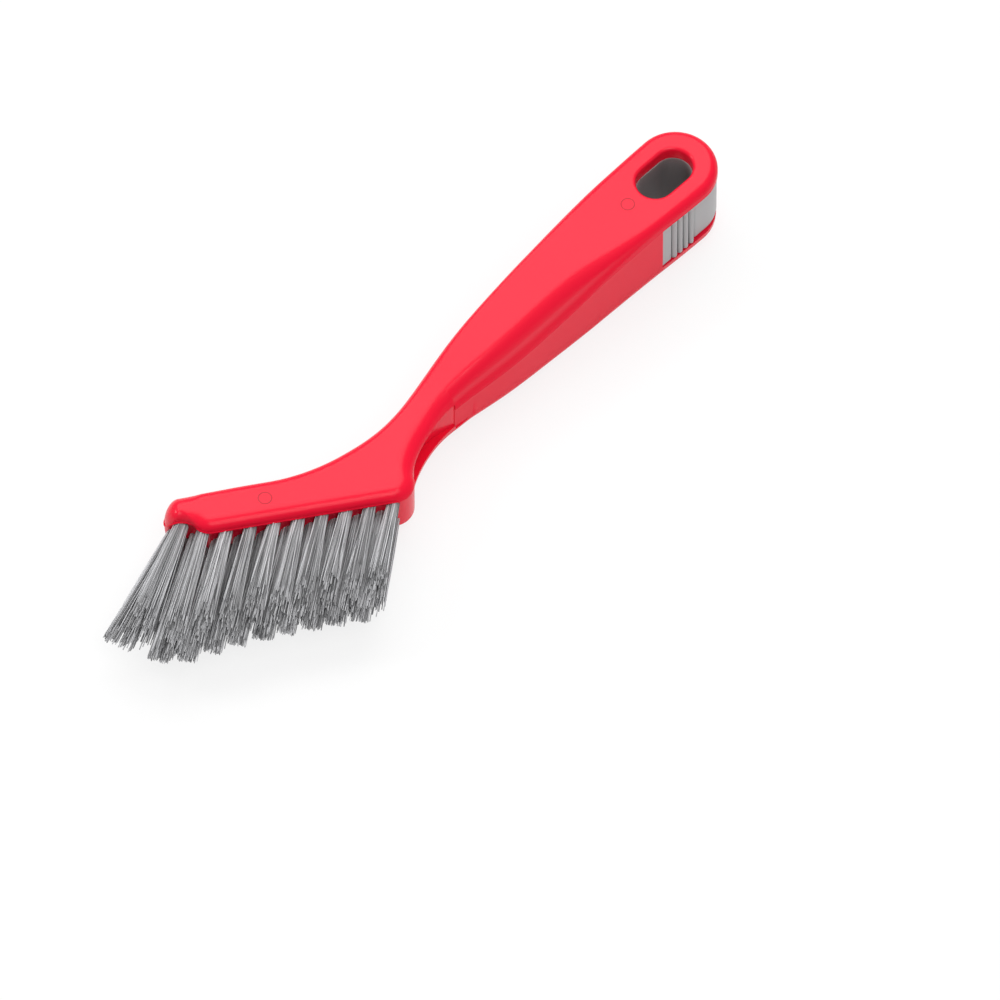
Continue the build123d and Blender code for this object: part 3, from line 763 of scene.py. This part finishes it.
# Soft grip
GRIP_LOW = FLANGE_THICKNESS + MOULD_GAP
GRIP_HIGH = END_THICKNESS - GRIP_LOW
GRIP_START = MOULD_GAP - INSERT_START
GRIP_HALF = END_RADIUS - INSERT_INSET
GRIP_CAP = CAP_SETBACK + INSERT_INSET + INSERT_PROUD
GRIP_INNER_HALF = GRIP_HALF - INSERT_WALL + MOULD_GAP
LINER_REACH = HANG_RADIUS - LINER_STEP
PAD_END = PAD_LENGTH - INSERT_START
RIBS_END = PAD_END + RIB_COUNT * RIB_PITCH
PAD_HEIGHT = 0.35
VALLEY_DEPTH = 0.6
PAD_SQUARENESS = 12            # the higher, the later and steeper the pad falls at its end
VALLEY_RUN = 0.7               # length over which the last valley rises to the smooth part
PAD_COLUMNS = 16
RIB_COLUMNS = 14
SMOOTH_COLUMNS = 11
CAP_COLUMNS = 41
CORNER_ROWS = 7
LINER_COLUMNS = 25             # on each of the liner's two round ends


def rib_heights(x, rib_height):
    """How far the grip's side stands out at places along it.

    First comes a pad that falls to a valley by a high power of the place on it, then the ribs, each an
    arch with the height of the root of a half sine over a sharp valley, then the smooth part.
    """
    pad = np.clip((x - GRIP_START) / (PAD_END - GRIP_START), 0, 1)
    pad_height = PAD_HEIGHT - (PAD_HEIGHT + VALLEY_DEPTH) * np.clip(2 * pad - 1, 0, 1) ** PAD_SQUARENESS
    arch = np.sqrt(np.abs(np.sin(math.pi * (x - PAD_END) / RIB_PITCH)))
    ribs = -VALLEY_DEPTH + (rib_height + VALLEY_DEPTH) * arch
    smooth = -VALLEY_DEPTH * (1 - ramp(x, RIBS_END, RIBS_END + VALLEY_RUN))
    return np.where(x < PAD_END, pad_height, np.where(x < RIBS_END, ribs, smooth))


def grip_band(rib_height, edge_radius):
    """The band round the hanging end: its section carried along a path with a round end.

    The section is a rectangle whose two outer corners are quarter circles. It is widened by the ribs.
    """
    side = np.concatenate([
        np.linspace(GRIP_START, PAD_END, PAD_COLUMNS, endpoint=False),
        np.linspace(PAD_END, RIBS_END, RIB_COUNT * RIB_COLUMNS, endpoint=False),
        np.linspace(RIBS_END, GRIP_CAP, SMOOTH_COLUMNS, endpoint=False),
    ])
    turn = np.radians(np.linspace(-90, 90, CAP_COLUMNS))
    x = np.concatenate([side, GRIP_CAP + GRIP_HALF * np.cos(turn), side[::-1]])
    way = np.concatenate([np.full(len(side), -math.pi / 2), turn, np.full(len(side), math.pi / 2)])
    normal = np.column_stack([np.cos(way), np.sin(way)])
    outer = np.column_stack([x, GRIP_HALF * np.sin(way)])
    inner_side = GRIP_START + (side - GRIP_START) * (CAP_SETBACK - GRIP_START) / (GRIP_CAP - GRIP_START)
    inner_x = np.concatenate([inner_side, CAP_SETBACK + GRIP_INNER_HALF * np.cos(turn), inner_side[::-1]])
    inner = np.column_stack([inner_x, GRIP_INNER_HALF * np.sin(way)])
    height = np.where(np.abs(way) < math.pi / 2, 0, rib_heights(np.minimum(x, GRIP_CAP), rib_height))
    corner = np.linspace(0, math.pi / 2, CORNER_ROWS)
    setback = edge_radius * (1 - np.sin(corner))
    depth = edge_radius * (1 - np.cos(corner))
    reach = np.concatenate([-setback, -setback[::-1]])
    z = np.concatenate([GRIP_HIGH - depth, GRIP_LOW + depth[::-1]])
    rows = [np.column_stack([inner, np.full(len(x), level)]) for level in (GRIP_LOW, GRIP_HIGH)]
    rows += [np.column_stack([outer + normal * (height + out)[:, None], np.full(len(x), level)])
             for out, level in zip(reach, z)]
    return np.array(rows)


def grip_liner():
    """The liner of the hanging hole: a rectangle carried round a stadium."""
    half = np.linspace(-90, 90, LINER_COLUMNS)
    turn = np.radians(np.concatenate([half, half + 180]))
    direction = np.column_stack([np.cos(turn), np.sin(turn)])
    side = np.repeat([1, -1], LINER_COLUMNS)
    middle = np.column_stack([side * HOLE_STRAIGHT / 2, 0 * turn])
    wall = (LINER_REACH, LINER_REACH + LINER_WALL - MOULD_GAP)
    reaches = [(wall[1], GRIP_LOW), (wall[1], GRIP_HIGH), (wall[0], GRIP_HIGH), (wall[0], GRIP_LOW)]
    return bore_rows(middle, direction, reaches)


def ring_faces(rows, start):
    """Quads of a closed section carried round a closed path."""
    ring, columns = rows.shape[:2]
    index = start + np.arange(ring * columns).reshape(ring, columns)
    ahead = np.roll(index, -1, axis=0)
    quads = np.stack([index, ahead, np.roll(ahead, -1, axis=1), np.roll(index, -1, axis=1)], axis=-1)
    return quads.reshape(-1, 4).tolist()


def band_faces(rows):
    """Quads of a closed section carried along an open path, and the two end faces."""
    ring, columns = rows.shape[:2]
    index = np.arange(ring * columns).reshape(ring, columns)
    after = np.roll(index, -1, axis=0)
    quads = np.stack([index[:, :-1], after[:, :-1], after[:, 1:], index[:, 1:]], axis=-1).reshape(-1, 4)
    return quads.tolist() + [index[:, 0].tolist(), index[::-1, -1].tolist()]


# Bristle filaments
FILAMENT_SIDES = 5
FILAMENT_RINGS = 7
FILAMENT_REACH = 1.0           # reach of the filaments' centres at the root, as a share of the hole's radius
SPREAD_ALONG = 2.5             # their reach at the tips along the row, in millimetres
SPREAD_ACROSS = 1.95           # and across the rows
TIP_SCATTER = 0.42
TIP_LOW = (-2.55, -2.4)        # no tip goes further than this along and across the row
TIP_HIGH = (2.95, 2.3)
CUT_SCATTER = 0.9              # a tip is short of the trim by about this
BOW = 0.5
STRAY_SHARE = 0.14             # share of the filaments that stray by about the next value
STRAY_REACH = 1.3
FAN_FILL = 3.4                 # the foremost tufts spread this much further towards the others


def filament_tips(root, row, distance, rng):
    """Tips of a tuft's filaments in its own directions, from their places in the hole.

    A tip lies as far out as its root does, spread and scattered a little. Its height above the face is
    what the V-shaped trim leaves there: the length in the middle of the brush, less the trim's slope
    times the rounded distance from the middle plane. The foremost tufts spread towards the others to
    fill the wedge that their lean leaves there.
    """
    count = len(root)
    share = distance / FACE_LENGTH
    longest = REAR_LENGTH + LENGTH_GAIN * share**LENGTH_POWER - NOSE_CUT * share**FAN_POWER
    tips = root / (TUFT_HOLE_RADIUS * FILAMENT_REACH) * np.array([SPREAD_ALONG, SPREAD_ACROSS])
    tips += rng.normal(0, TIP_SCATTER, (count, 2))
    stray = rng.random(count) < STRAY_SHARE
    tips += stray[:, None] * rng.normal(0, STRAY_REACH, (count, 2))
    fill = FAN_FILL * share**FAN_POWER
    tips[:, 0] += fill * np.clip(root[:, 0] / TUFT_HOLE_RADIUS, 0, 1)
    tips = np.clip(tips, TIP_LOW, (TIP_HIGH[0] + fill, TIP_HIGH[1]))
    height = row * ROW_SPACING + tips[:, 1]
    trim = TRIM_SLOPE * (np.sqrt(height**2 + TRIM_ROUND**2) - TRIM_ROUND)
    length = longest - trim - np.abs(rng.normal(0, CUT_SCATTER, count))
    return np.column_stack([tips, length])


def filament_lines(row, distance, count, rng):
    """Centre lines of a tuft's filaments, as an array of filament by ring by direction.

    The roots fill the hole in a sunflower pattern. Each line leads from its root to its tip and bows
    outwards between them by a parabola, so that it leaves the hole steeply and spreads as it goes.
    """
    turn = np.arange(count) * GOLDEN_ANGLE
    reach = TUFT_HOLE_RADIUS * FILAMENT_REACH * np.sqrt((np.arange(count) + 0.5) / count)
    root = np.column_stack([reach * np.cos(turn), reach * np.sin(turn)])
    tips = filament_tips(root, row, distance, rng)
    start = np.column_stack([root, np.full(count, ANCHOR_TOP)])
    share = np.linspace(0, 1, FILAMENT_RINGS)[None, :, None]
    lines = start[:, None, :] * (1 - share) + tips[:, None, :] * share
    bow = np.column_stack([rng.normal(0, BOW, (count, 2)), np.zeros(count)])
    return lines + bow[:, None, :] * share * (share - 1)


def tubes(lines, radius, sides):
    """Closed tubes round many lines at once: a polygon carried along each, with its end faces.

    Returns the points and the faces. The lines run nearly along their third direction, so the
    polygon lies in the other two.
    """
    count, rings, _ = lines.shape
    angle = np.arange(sides) * 2 * math.pi / sides
    ring = np.column_stack([np.cos(angle), np.sin(angle), np.zeros(sides)]) * radius
    points = lines[:, :, None, :] + ring[None, None, :, :]
    index = np.arange(count * rings * sides).reshape(count, rings, sides)
    after = np.roll(index, -1, axis=2)
    walls = np.stack([index[:, :-1], after[:, :-1], after[:, 1:], index[:, 1:]], axis=-1).reshape(-1, 4)
    faces = walls.tolist() + index[:, 0, ::-1].tolist() + index[:, -1].tolist()
    return points, faces


def scaled(colour, share):
    """A colour made lighter or darker by a share, with its alpha."""
    return (*(min(part * share, 1) for part in colour), 1)


def two_colours(tree, factor, start, end, places=(0, 1)):
    """Adds a colour ramp between two colours at two places of the factor."""
    shades = add_node(tree, "ShaderNodeValToRGB", {"Fac": factor})
    for stop, place, colour in zip(shades.color_ramp.elements, places, (start, end)):
        stop.position = place
        stop.color = colour
    return shades.outputs["Color"]


def bristle_material(colour):
    """Nylon, drawn as fine filaments: satin grey, each filament a little lighter or darker.

    The shade attribute holds one number for each filament, from the darkest to the lightest.
    """
    material, tree, output = new_material("drawn_nylon_filaments")
    shade = add_node(tree, "ShaderNodeAttribute", attribute_name="shade")
    shades = two_colours(tree, shade.outputs["Fac"], *(scaled(colour, share) for share in SHADE_SHARES))
    skin = add_node(
        tree, "ShaderNodeBsdfPrincipled", {"Base Color": shades}, Roughness=0.38, IOR=1.53,
    )
    tree.links.new(skin.outputs["BSDF"], output.inputs["Surface"])
    return material


# Finishes
SHADE_SHARES = (0.3, 1.9)      # darkest and lightest filament, as shares of the middle colour
# Painted shade: the soft grip's colour is darkened by ambient occlusion in its bore and between its ribs
PAINTED_SHADE_SHARE = 0.3               # colour of the painted shade in the grip's hollows, as a share of its own
PAINTED_SHADE_PLACES = (0.2, 0.55)      # openness of the hollows where the painted shade is darkest, and of those that keep the grip's colour
# how far the ambient occlusion for that painted shade looks, in millimetres
PAINTED_SHADE_REACH = 20.0
RUBBER_GRAIN = 1 / 3.5         # coarser than the real blasted grain, so that it shows
WIRE_LINES = 0.25              # coarser than the real drawing lines, so that they show
SPARK_GRAIN = 0.4
SPARK_STRETCH = 0.06           # the wall's grain is drawn out along the handle, as by a polishing stone
WALL_ROUGHNESS = 0.48
WALL_GRAIN_STRENGTH = 0.35
FLAT_MIRROR = 0.25             # specular level of the polished flat faces
ROUND_MIRROR = 0.06            # and at the steep end of their roundings
# colour of the moulding marks' rings, as a share of the handle's: painted shade of the rings' edges
MARK_PAINTED_SHADE = 0.62
PAPER_GLOW = 0.8               # share of the paper that the camera sees as plain white

# Moulding marks on the upper broad face
MARK_SETBACK = 14.2            # from the hanging hole's centre towards the neck
MARK_SHARES = (0.6, 0.5)       # along the head and across it
MARK_RADIUS = 1.85
MARK_WIDTH = 0.3


def mark_places():
    """Middles of the two moulding marks on the upper broad face, in metres."""
    along, across = MARK_SHARES
    plan = np.array([(-MARK_SETBACK, 0), head_plan(HEAD_LENGTH * along, HEAD_DEPTH * across)])
    height = MID_HEIGHT + half_thickness(plan[:, 0])
    return (np.column_stack([plan, height]) + (HOLE_X, HOLE_Y, 0)) * MM


def mark_ring(tree, place, middle):
    """Adds nodes whose output is 1 on a thin ring round a point and 0 elsewhere."""
    gap = add_node(tree, "ShaderNodeVectorMath", {0: place}, operation="DISTANCE")
    gap.inputs[1].default_value = middle
    ring = add_node(tree, "ShaderNodeMath", {0: gap.outputs["Value"]}, operation="COMPARE")
    ring.inputs[1].default_value = MARK_RADIUS * MM
    ring.inputs[2].default_value = MARK_WIDTH / 2 * MM
    return ring.outputs[0]


def handle_material(colour, gloss_roughness):
    """Polypropylene, injection moulded: polished broad faces and spark-eroded, duller side walls.

    The dull attribute is 1 on the walls, whose fine grain is drawn out along the handle. The lost attribute
    says how much less than the flat faces a rounding mirrors. Two thin rings mark where the mould's pins
    pushed the brush out; they are bumped, and also painted darker as painted shade of their edges.
    """
    material, tree, output = new_material("moulded_polypropylene")
    place = add_node(tree, "ShaderNodeTexCoord")
    wall = add_node(tree, "ShaderNodeAttribute", attribute_name="dull")
    stretch = add_node(
        tree, "ShaderNodeMapping", {"Vector": place.outputs["Object"]}, Scale=(SPARK_STRETCH, 1.0, 1.0),
    )
    streaks = add_node(
        tree, "ShaderNodeTexNoise", {"Vector": stretch.outputs["Vector"]},
        Scale=1 / (SPARK_GRAIN * MM), Detail=3.0,
    )
    roughness = add_node(
        tree, "ShaderNodeMapRange", {"Value": wall.outputs["Fac"]},
        To_Min=gloss_roughness, To_Max=WALL_ROUGHNESS,
    )
    strength = add_node(
        tree, "ShaderNodeMath", {0: wall.outputs["Fac"]}, operation="MULTIPLY",
    )
    strength.inputs[1].default_value = WALL_GRAIN_STRENGTH
    bump = add_node(
        tree, "ShaderNodeBump",
        {"Height": streaks.outputs["Fac"], "Strength": strength.outputs[0]}, Distance=0.00005,
    )
    rings = [mark_ring(tree, place.outputs["Object"], spot) for spot in mark_places()]
    ring = add_node(tree, "ShaderNodeMath", {0: rings[0], 1: rings[1]}, operation="ADD")
    marked = add_node(
        tree, "ShaderNodeBump", {"Height": ring.outputs[0], "Normal": bump.outputs["Normal"]},
        Strength=0.8, Distance=0.0002,
    )
    # painted shade: the rings are painted darker than the handle, in place of the shade on their edges
    ring_shade = add_node(tree, "ShaderNodeMix", {"Factor": ring.outputs[0]}, data_type="RGBA")
    ring_shade.inputs["A"].default_value = scaled(colour, 1)
    ring_shade.inputs["B"].default_value = scaled(colour, MARK_PAINTED_SHADE)
    lost = add_node(tree, "ShaderNodeAttribute", attribute_name="lost")
    mirror = add_node(
        tree, "ShaderNodeMapRange", {"Value": lost.outputs["Fac"]},
        To_Min=FLAT_MIRROR, To_Max=ROUND_MIRROR, clamp=False,
    )
    skin = add_node(
        tree, "ShaderNodeBsdfPrincipled",
        {"Roughness": roughness.outputs["Result"], "Normal": marked.outputs["Normal"],
         "Specular IOR Level": mirror.outputs["Result"], "Base Color": ring_shade.outputs["Result"]},
        IOR=1.49, Specular_IOR_Level=FLAT_MIRROR,
    )
    tree.links.new(skin.outputs["BSDF"], output.inputs["Surface"])
    return material


def grip_material(colour):
    """Thermoplastic elastomer, moulded against a blasted tool: matt, with a very fine grain.

    Its colour is painted darker where its shape shades itself, in the bore and between the ribs: painted
    shade from ambient occlusion.
    """
    material, tree, output = new_material("moulded_soft_elastomer")
    place = add_node(tree, "ShaderNodeTexCoord")
    grain = add_node(
        tree, "ShaderNodeTexNoise", {"Vector": place.outputs["Object"]},
        Scale=1 / (RUBBER_GRAIN * MM), Detail=2.0,
    )
    bump = add_node(tree, "ShaderNodeBump", {"Height": grain.outputs["Fac"]}, Strength=0.2, Distance=0.00003)
    # painted shade: ambient occlusion darkens the grip's colour in its hollows, where shade falls
    occlusion_shade = add_node(tree, "ShaderNodeAmbientOcclusion", Distance=PAINTED_SHADE_REACH * MM)
    shades = two_colours(
        tree, occlusion_shade.outputs["AO"], scaled(colour, PAINTED_SHADE_SHARE), scaled(colour, 1), PAINTED_SHADE_PLACES,
    )
    skin = add_node(
        tree, "ShaderNodeBsdfPrincipled", {"Normal": bump.outputs["Normal"], "Base Color": shades},
        Roughness=0.55, IOR=1.5, Sheen_Weight=0.15,
    )
    tree.links.new(skin.outputs["BSDF"], output.inputs["Surface"])
    return material


def metal_material():
    """Steel wire, drawn flat: bright, with fine lines along it."""
    material, tree, output = new_material("drawn_flat_steel")
    place = add_node(tree, "ShaderNodeTexCoord")
    lines = add_node(
        tree, "ShaderNodeTexNoise", {"Vector": place.outputs["Object"]},
        Scale=1 / (WIRE_LINES * MM), Detail=2.0,
    )
    bump = add_node(tree, "ShaderNodeBump", {"Height": lines.outputs["Fac"]}, Strength=0.1, Distance=0.00002)
    skin = add_node(
        tree, "ShaderNodeBsdfPrincipled", {"Normal": bump.outputs["Normal"]},
        Base_Color=srgb("C2C2C2"), Metallic=1.0, Roughness=0.3,
    )
    tree.links.new(skin.outputs["BSDF"], output.inputs["Surface"])
    return material


def floor_material(colour):
    """Paper backdrop: pale and matt, and plain white to the camera but for the brush's soft shadow."""
    material, tree, output = new_material("matt_paper_backdrop")
    path = add_node(tree, "ShaderNodeLightPath")
    paper = add_node(tree, "ShaderNodeBsdfDiffuse", Color=(*colour, 1))
    white = add_node(tree, "ShaderNodeEmission", Color=(1, 1, 1, 1), Strength=1.0)
    seen = add_node(
        tree, "ShaderNodeMath",
        {0: path.outputs["Is Camera Ray"], 1: path.outputs["Is Glossy Ray"]}, operation="MAXIMUM",
    )
    seen = add_node(
        tree, "ShaderNodeMath",
        {0: seen.outputs[0], 1: path.outputs["Is Transmission Ray"]}, operation="MAXIMUM",
    )
    share = add_node(tree, "ShaderNodeMath", {0: seen.outputs[0]}, operation="MULTIPLY")
    share.inputs[1].default_value = PAPER_GLOW
    mix = add_node(tree, "ShaderNodeMixShader", {"Fac": share.outputs[0]})
    tree.links.new(paper.outputs["BSDF"], mix.inputs[1])
    tree.links.new(white.outputs["Emission"], mix.inputs[2])
    tree.links.new(mix.outputs["Shader"], output.inputs["Surface"])
    return material


class BRUSH_OT_handle(bpy.types.Operator):
    """Gives the moulded handle and head their plastic"""

    bl_idname = "brush.handle"
    bl_label = "Handle and head"

    def execute(self, context):
        settings = context.scene.brush_handle
        material = handle_material(settings.colour, settings.gloss_roughness)
        sections = outline()
        points = np.vstack(list(sections.values()))
        profile = np.vstack([section_profile(name, part) for name, part in sections.items()])
        inward = inward_directions(sections)
        inner, outer, measure, fan = facing_columns(sections)
        order = np.concatenate([fan, inner, outer[::-1]])
        rim = points + inward * profile[:, :1]
        middle, direction = fan_directions(points[fan])
        reach = HANG_RADIUS + HANG_RIM
        between = (rim[inner] + rim[outer]) / 2
        pole = np.array([-HOLE_STRAIGHT / 2 - reach, 0])
        between += (pole - between[0]) * np.clip(1 - measure, 0, 1)[:, None]
        ends = np.vstack([middle + direction * reach, between, between[::-1]])
        rows, *shades = handle_rows(points[order], inward[order], ends, profile[order])
        middle = np.vstack([middle, (-HOLE_STRAIGHT / 2, 0)])
        direction = np.vstack([direction, (-1, 0)])
        liner = LINER_REACH + LINER_WALL
        turns = np.radians(np.linspace(0, 90, RIM_STEPS))
        lips = [(HANG_RADIUS + HANG_RIM * (1 - math.sin(t)), HANG_RIM * (1 - math.cos(t))) for t in turns]
        upper = [(reach, END_THICKNESS - depth) for reach, depth in lips]
        slot = [(HANG_RADIUS, END_THICKNESS - FLANGE_THICKNESS), (liner, END_THICKNESS - FLANGE_THICKNESS),
                (liner, FLANGE_THICKNESS), (HANG_RADIUS, FLANGE_THICKNESS)]
        reaches = [*upper, *slot, *lips[::-1]]
        bore = bore_rows(middle, direction, reaches)
        faces = grid_faces(rows) + grid_faces(bore, rows[..., 0].size)
        shape = np.vstack([rows.reshape(-1, 3), bore.reshape(-1, 3)])
        shape[:, :2] += (HOLE_X, HOLE_Y)
        piece = add_piece("handle_and_head", shape, faces, material, ["handle_body"])
        for name, values in zip(("dull", "lost"), shades):
            attribute = piece.data.attributes.new(name, "FLOAT", "POINT")
            attribute.data.foreach_set("value", np.concatenate([values.ravel(), np.zeros(bore[..., 0].size)]))
        seal(piece.data)
        return {"FINISHED"}


class BRUSH_OT_anchors(bpy.types.Operator):
    """Gives the metal anchors in the bristle holes their finish"""

    bl_idname = "brush.anchors"
    bl_label = "Anchors"

    def execute(self, context):
        material = metal_material()
        for name in ("anchors_upper", "anchors_middle", "anchors_lower"):
            node = frame["nodes"][name]
            node.data.materials.clear()
            node.data.materials.append(material)
        return {"FINISHED"}


class BRUSH_OT_grip(bpy.types.Operator):
    """Makes the soft grip: the ribbed band round the hanging end and the liner of its hole"""

    bl_idname = "brush.grip"
    bl_label = "Soft grip"

    def execute(self, context):
        settings = context.scene.brush_grip
        material = grip_material(settings.colour)
        band = grip_band(settings.rib_height / MM, settings.edge_radius / MM)
        liner = grip_liner()
        faces = band_faces(band) + ring_faces(liner, band[..., 0].size)
        shape = np.vstack([band.reshape(-1, 3), liner.reshape(-1, 3)]) + (HOLE_X, HOLE_Y, 0)
        piece = add_piece("soft_grip", shape, faces, material, ["grip_insert"])
        seal(piece.data)
        return {"FINISHED"}


class BRUSH_OT_bristles(bpy.types.Operator):
    """Makes the thirty bristle tufts, filament by filament"""

    bl_idname = "brush.bristles"
    bl_label = "Bristle tufts"

    def execute(self, context):
        settings = context.scene.brush_bristles
        material = bristle_material(settings.colour)
        rng = np.random.default_rng(settings.seed)
        radius = settings.thickness / MM / 2
        for name, row in (("upper", 1), ("middle", 0), ("lower", -1)):
            for number, distance in enumerate(tuft_distances(row), start=1):
                root, axes = tuft_frame(row, distance)
                lines = filament_lines(row, distance, settings.count, rng)
                points, faces = tubes(lines, radius, FILAMENT_SIDES)
                world = points.reshape(-1, 3) @ axes + root
                node = f"tuft_{name}_{number:02d}"
                piece = add_piece(f"bristles_{name}_{number:02d}", world, faces, material, [node])
                shade = np.repeat(rng.random(settings.count), FILAMENT_RINGS * FILAMENT_SIDES)
                attribute = piece.data.attributes.new("shade", "FLOAT", "POINT")
                attribute.data.foreach_set("value", shade.astype(np.float32))
        return {"FINISHED"}


def add_lamp(name, place, target, size, power):
    """Adds a square area lamp at a place in metres, turned to a target."""
    data = bpy.data.lights.new(name, "AREA")
    data.shape = "SQUARE"
    data.size = size
    data.energy = power
    lamp = bpy.data.objects.new(name, data)
    bpy.context.scene.collection.objects.link(lamp)
    lamp.location = place
    aim(lamp, target)


def aim(thing, target):
    """Turns a lamp or camera so that it looks at a point."""
    direction = np.array(target) - np.array(thing.location)
    thing.rotation_euler = Vector(direction).to_track_quat("-Z", "Y").to_euler()


PICTURE_MIDDLE = (-100.88, -36.53)  # from the hanging hole's centre, in millimetres
SENSOR_WIDTH = 36.0
FLOOR_REACH = 6.0              # metres from the middle of the floor to its edges
FAR_CLIP = 50.0
SKY = 0.4

# Each lamp: its place to the right, ahead and up from the picture's middle, its size, both in metres, and
# its power in watts
LAMPS = {
    "softbox_over": ((0, 0.9, 1.4), 1.5, 18.0),
    "softbox_left": ((-1.1, 0.2, 0.9), 0.35, 4.0),
    "fill_front": ((0.3, -0.6, 1.3), 0.8, 8.0),
}


class BRUSH_OT_stage(bpy.types.Operator):
    """Makes the floor, the lamps and the camera"""

    bl_idname = "brush.stage"
    bl_label = "Stage"

    def execute(self, context):
        scene = context.scene
        settings = scene.brush_stage
        target = np.array([HOLE_X + PICTURE_MIDDLE[0], HOLE_Y + PICTURE_MIDDLE[1], MID_HEIGHT]) * MM
        mesh = bpy.data.meshes.new("floor")
        corners = [(x * FLOOR_REACH, y * FLOOR_REACH, 0) for x, y in ((-1, -1), (1, -1), (1, 1), (-1, 1))]
        mesh.from_pydata(corners, [], [(0, 1, 2, 3)])
        mesh.materials.append(floor_material(settings.floor_colour))
        floor = bpy.data.objects.new("floor", mesh)
        scene.collection.objects.link(floor)

        turn = settings.azimuth
        ahead = np.array([-math.sin(turn), math.cos(turn), 0])
        side = np.array([math.cos(turn), math.sin(turn), 0])
        back = -ahead * math.cos(settings.elevation) + UP * math.sin(settings.elevation)
        data = bpy.data.cameras.new("camera")
        data.sensor_width = SENSOR_WIDTH
        data.lens = SENSOR_WIDTH * settings.distance / settings.view_width
        data.clip_end = FAR_CLIP
        camera = bpy.data.objects.new("camera", data)
        scene.collection.objects.link(camera)
        camera.location = target + back * settings.distance
        aim(camera, target)
        scene.camera = camera

        for name, (place, size, power) in LAMPS.items():
            add_lamp(name, target + np.array(place) @ np.array([side, ahead, UP]), target, size, power)
        world = bpy.data.worlds.new("studio")
        world.use_nodes = True
        background = world.node_tree.nodes["Background"]
        background.inputs["Color"].default_value = (1, 1, 1, 1)
        background.inputs["Strength"].default_value = SKY
        scene.world = world
        scene.view_settings.view_transform = "Standard"
        return {"FINISHED"}


class BRUSH_PT_panel(bpy.types.Panel):
    """Lists the brush's pieces and their settings"""

    bl_idname = "BRUSH_PT_panel"
    bl_label = "Grout Brush"
    bl_space_type = "VIEW_3D"
    bl_region_type = "UI"
    bl_category = "Grout Brush"

    def draw(self, context):
        for group, operator in PANEL_ROWS:
            box = self.layout.box()
            if group:
                settings = getattr(context.scene, group)
                for name in settings.__annotations__:
                    box.prop(settings, name)
            box.operator(operator)


PANEL_ROWS = (
    ("brush_handle", "brush.handle"),
    (None, "brush.anchors"),
    ("brush_grip", "brush.grip"),
    ("brush_bristles", "brush.bristles"),
    ("brush_stage", "brush.stage"),
)
SETTINGS = {
    "brush_handle": HandleSettings,
    "brush_grip": GripSettings,
    "brush_bristles": BristleSettings,
    "brush_stage": StageSettings,
}
CLASSES = (
    *SETTINGS.values(),
    BRUSH_OT_handle,
    BRUSH_OT_anchors,
    BRUSH_OT_grip,
    BRUSH_OT_bristles,
    BRUSH_OT_stage,
    BRUSH_PT_panel,
)


def register():
    """Registers the classes and puts the settings on the scene."""
    for kind in CLASSES:
        bpy.utils.register_class(kind)
    for name, kind in SETTINGS.items():
        setattr(bpy.types.Scene, name, PointerProperty(type=kind))


def unregister():
    """Takes the settings off the scene and removes the classes."""
    for name in SETTINGS:
        delattr(bpy.types.Scene, name)
    for kind in reversed(CLASSES):
        bpy.utils.unregister_class(kind)


def main():
    register()
    bpy.ops.brush.stage()
    bpy.ops.brush.handle()
    bpy.ops.brush.anchors()
    bpy.ops.brush.grip()
    bpy.ops.brush.bristles()


if __name__ == "__main__":
    main()
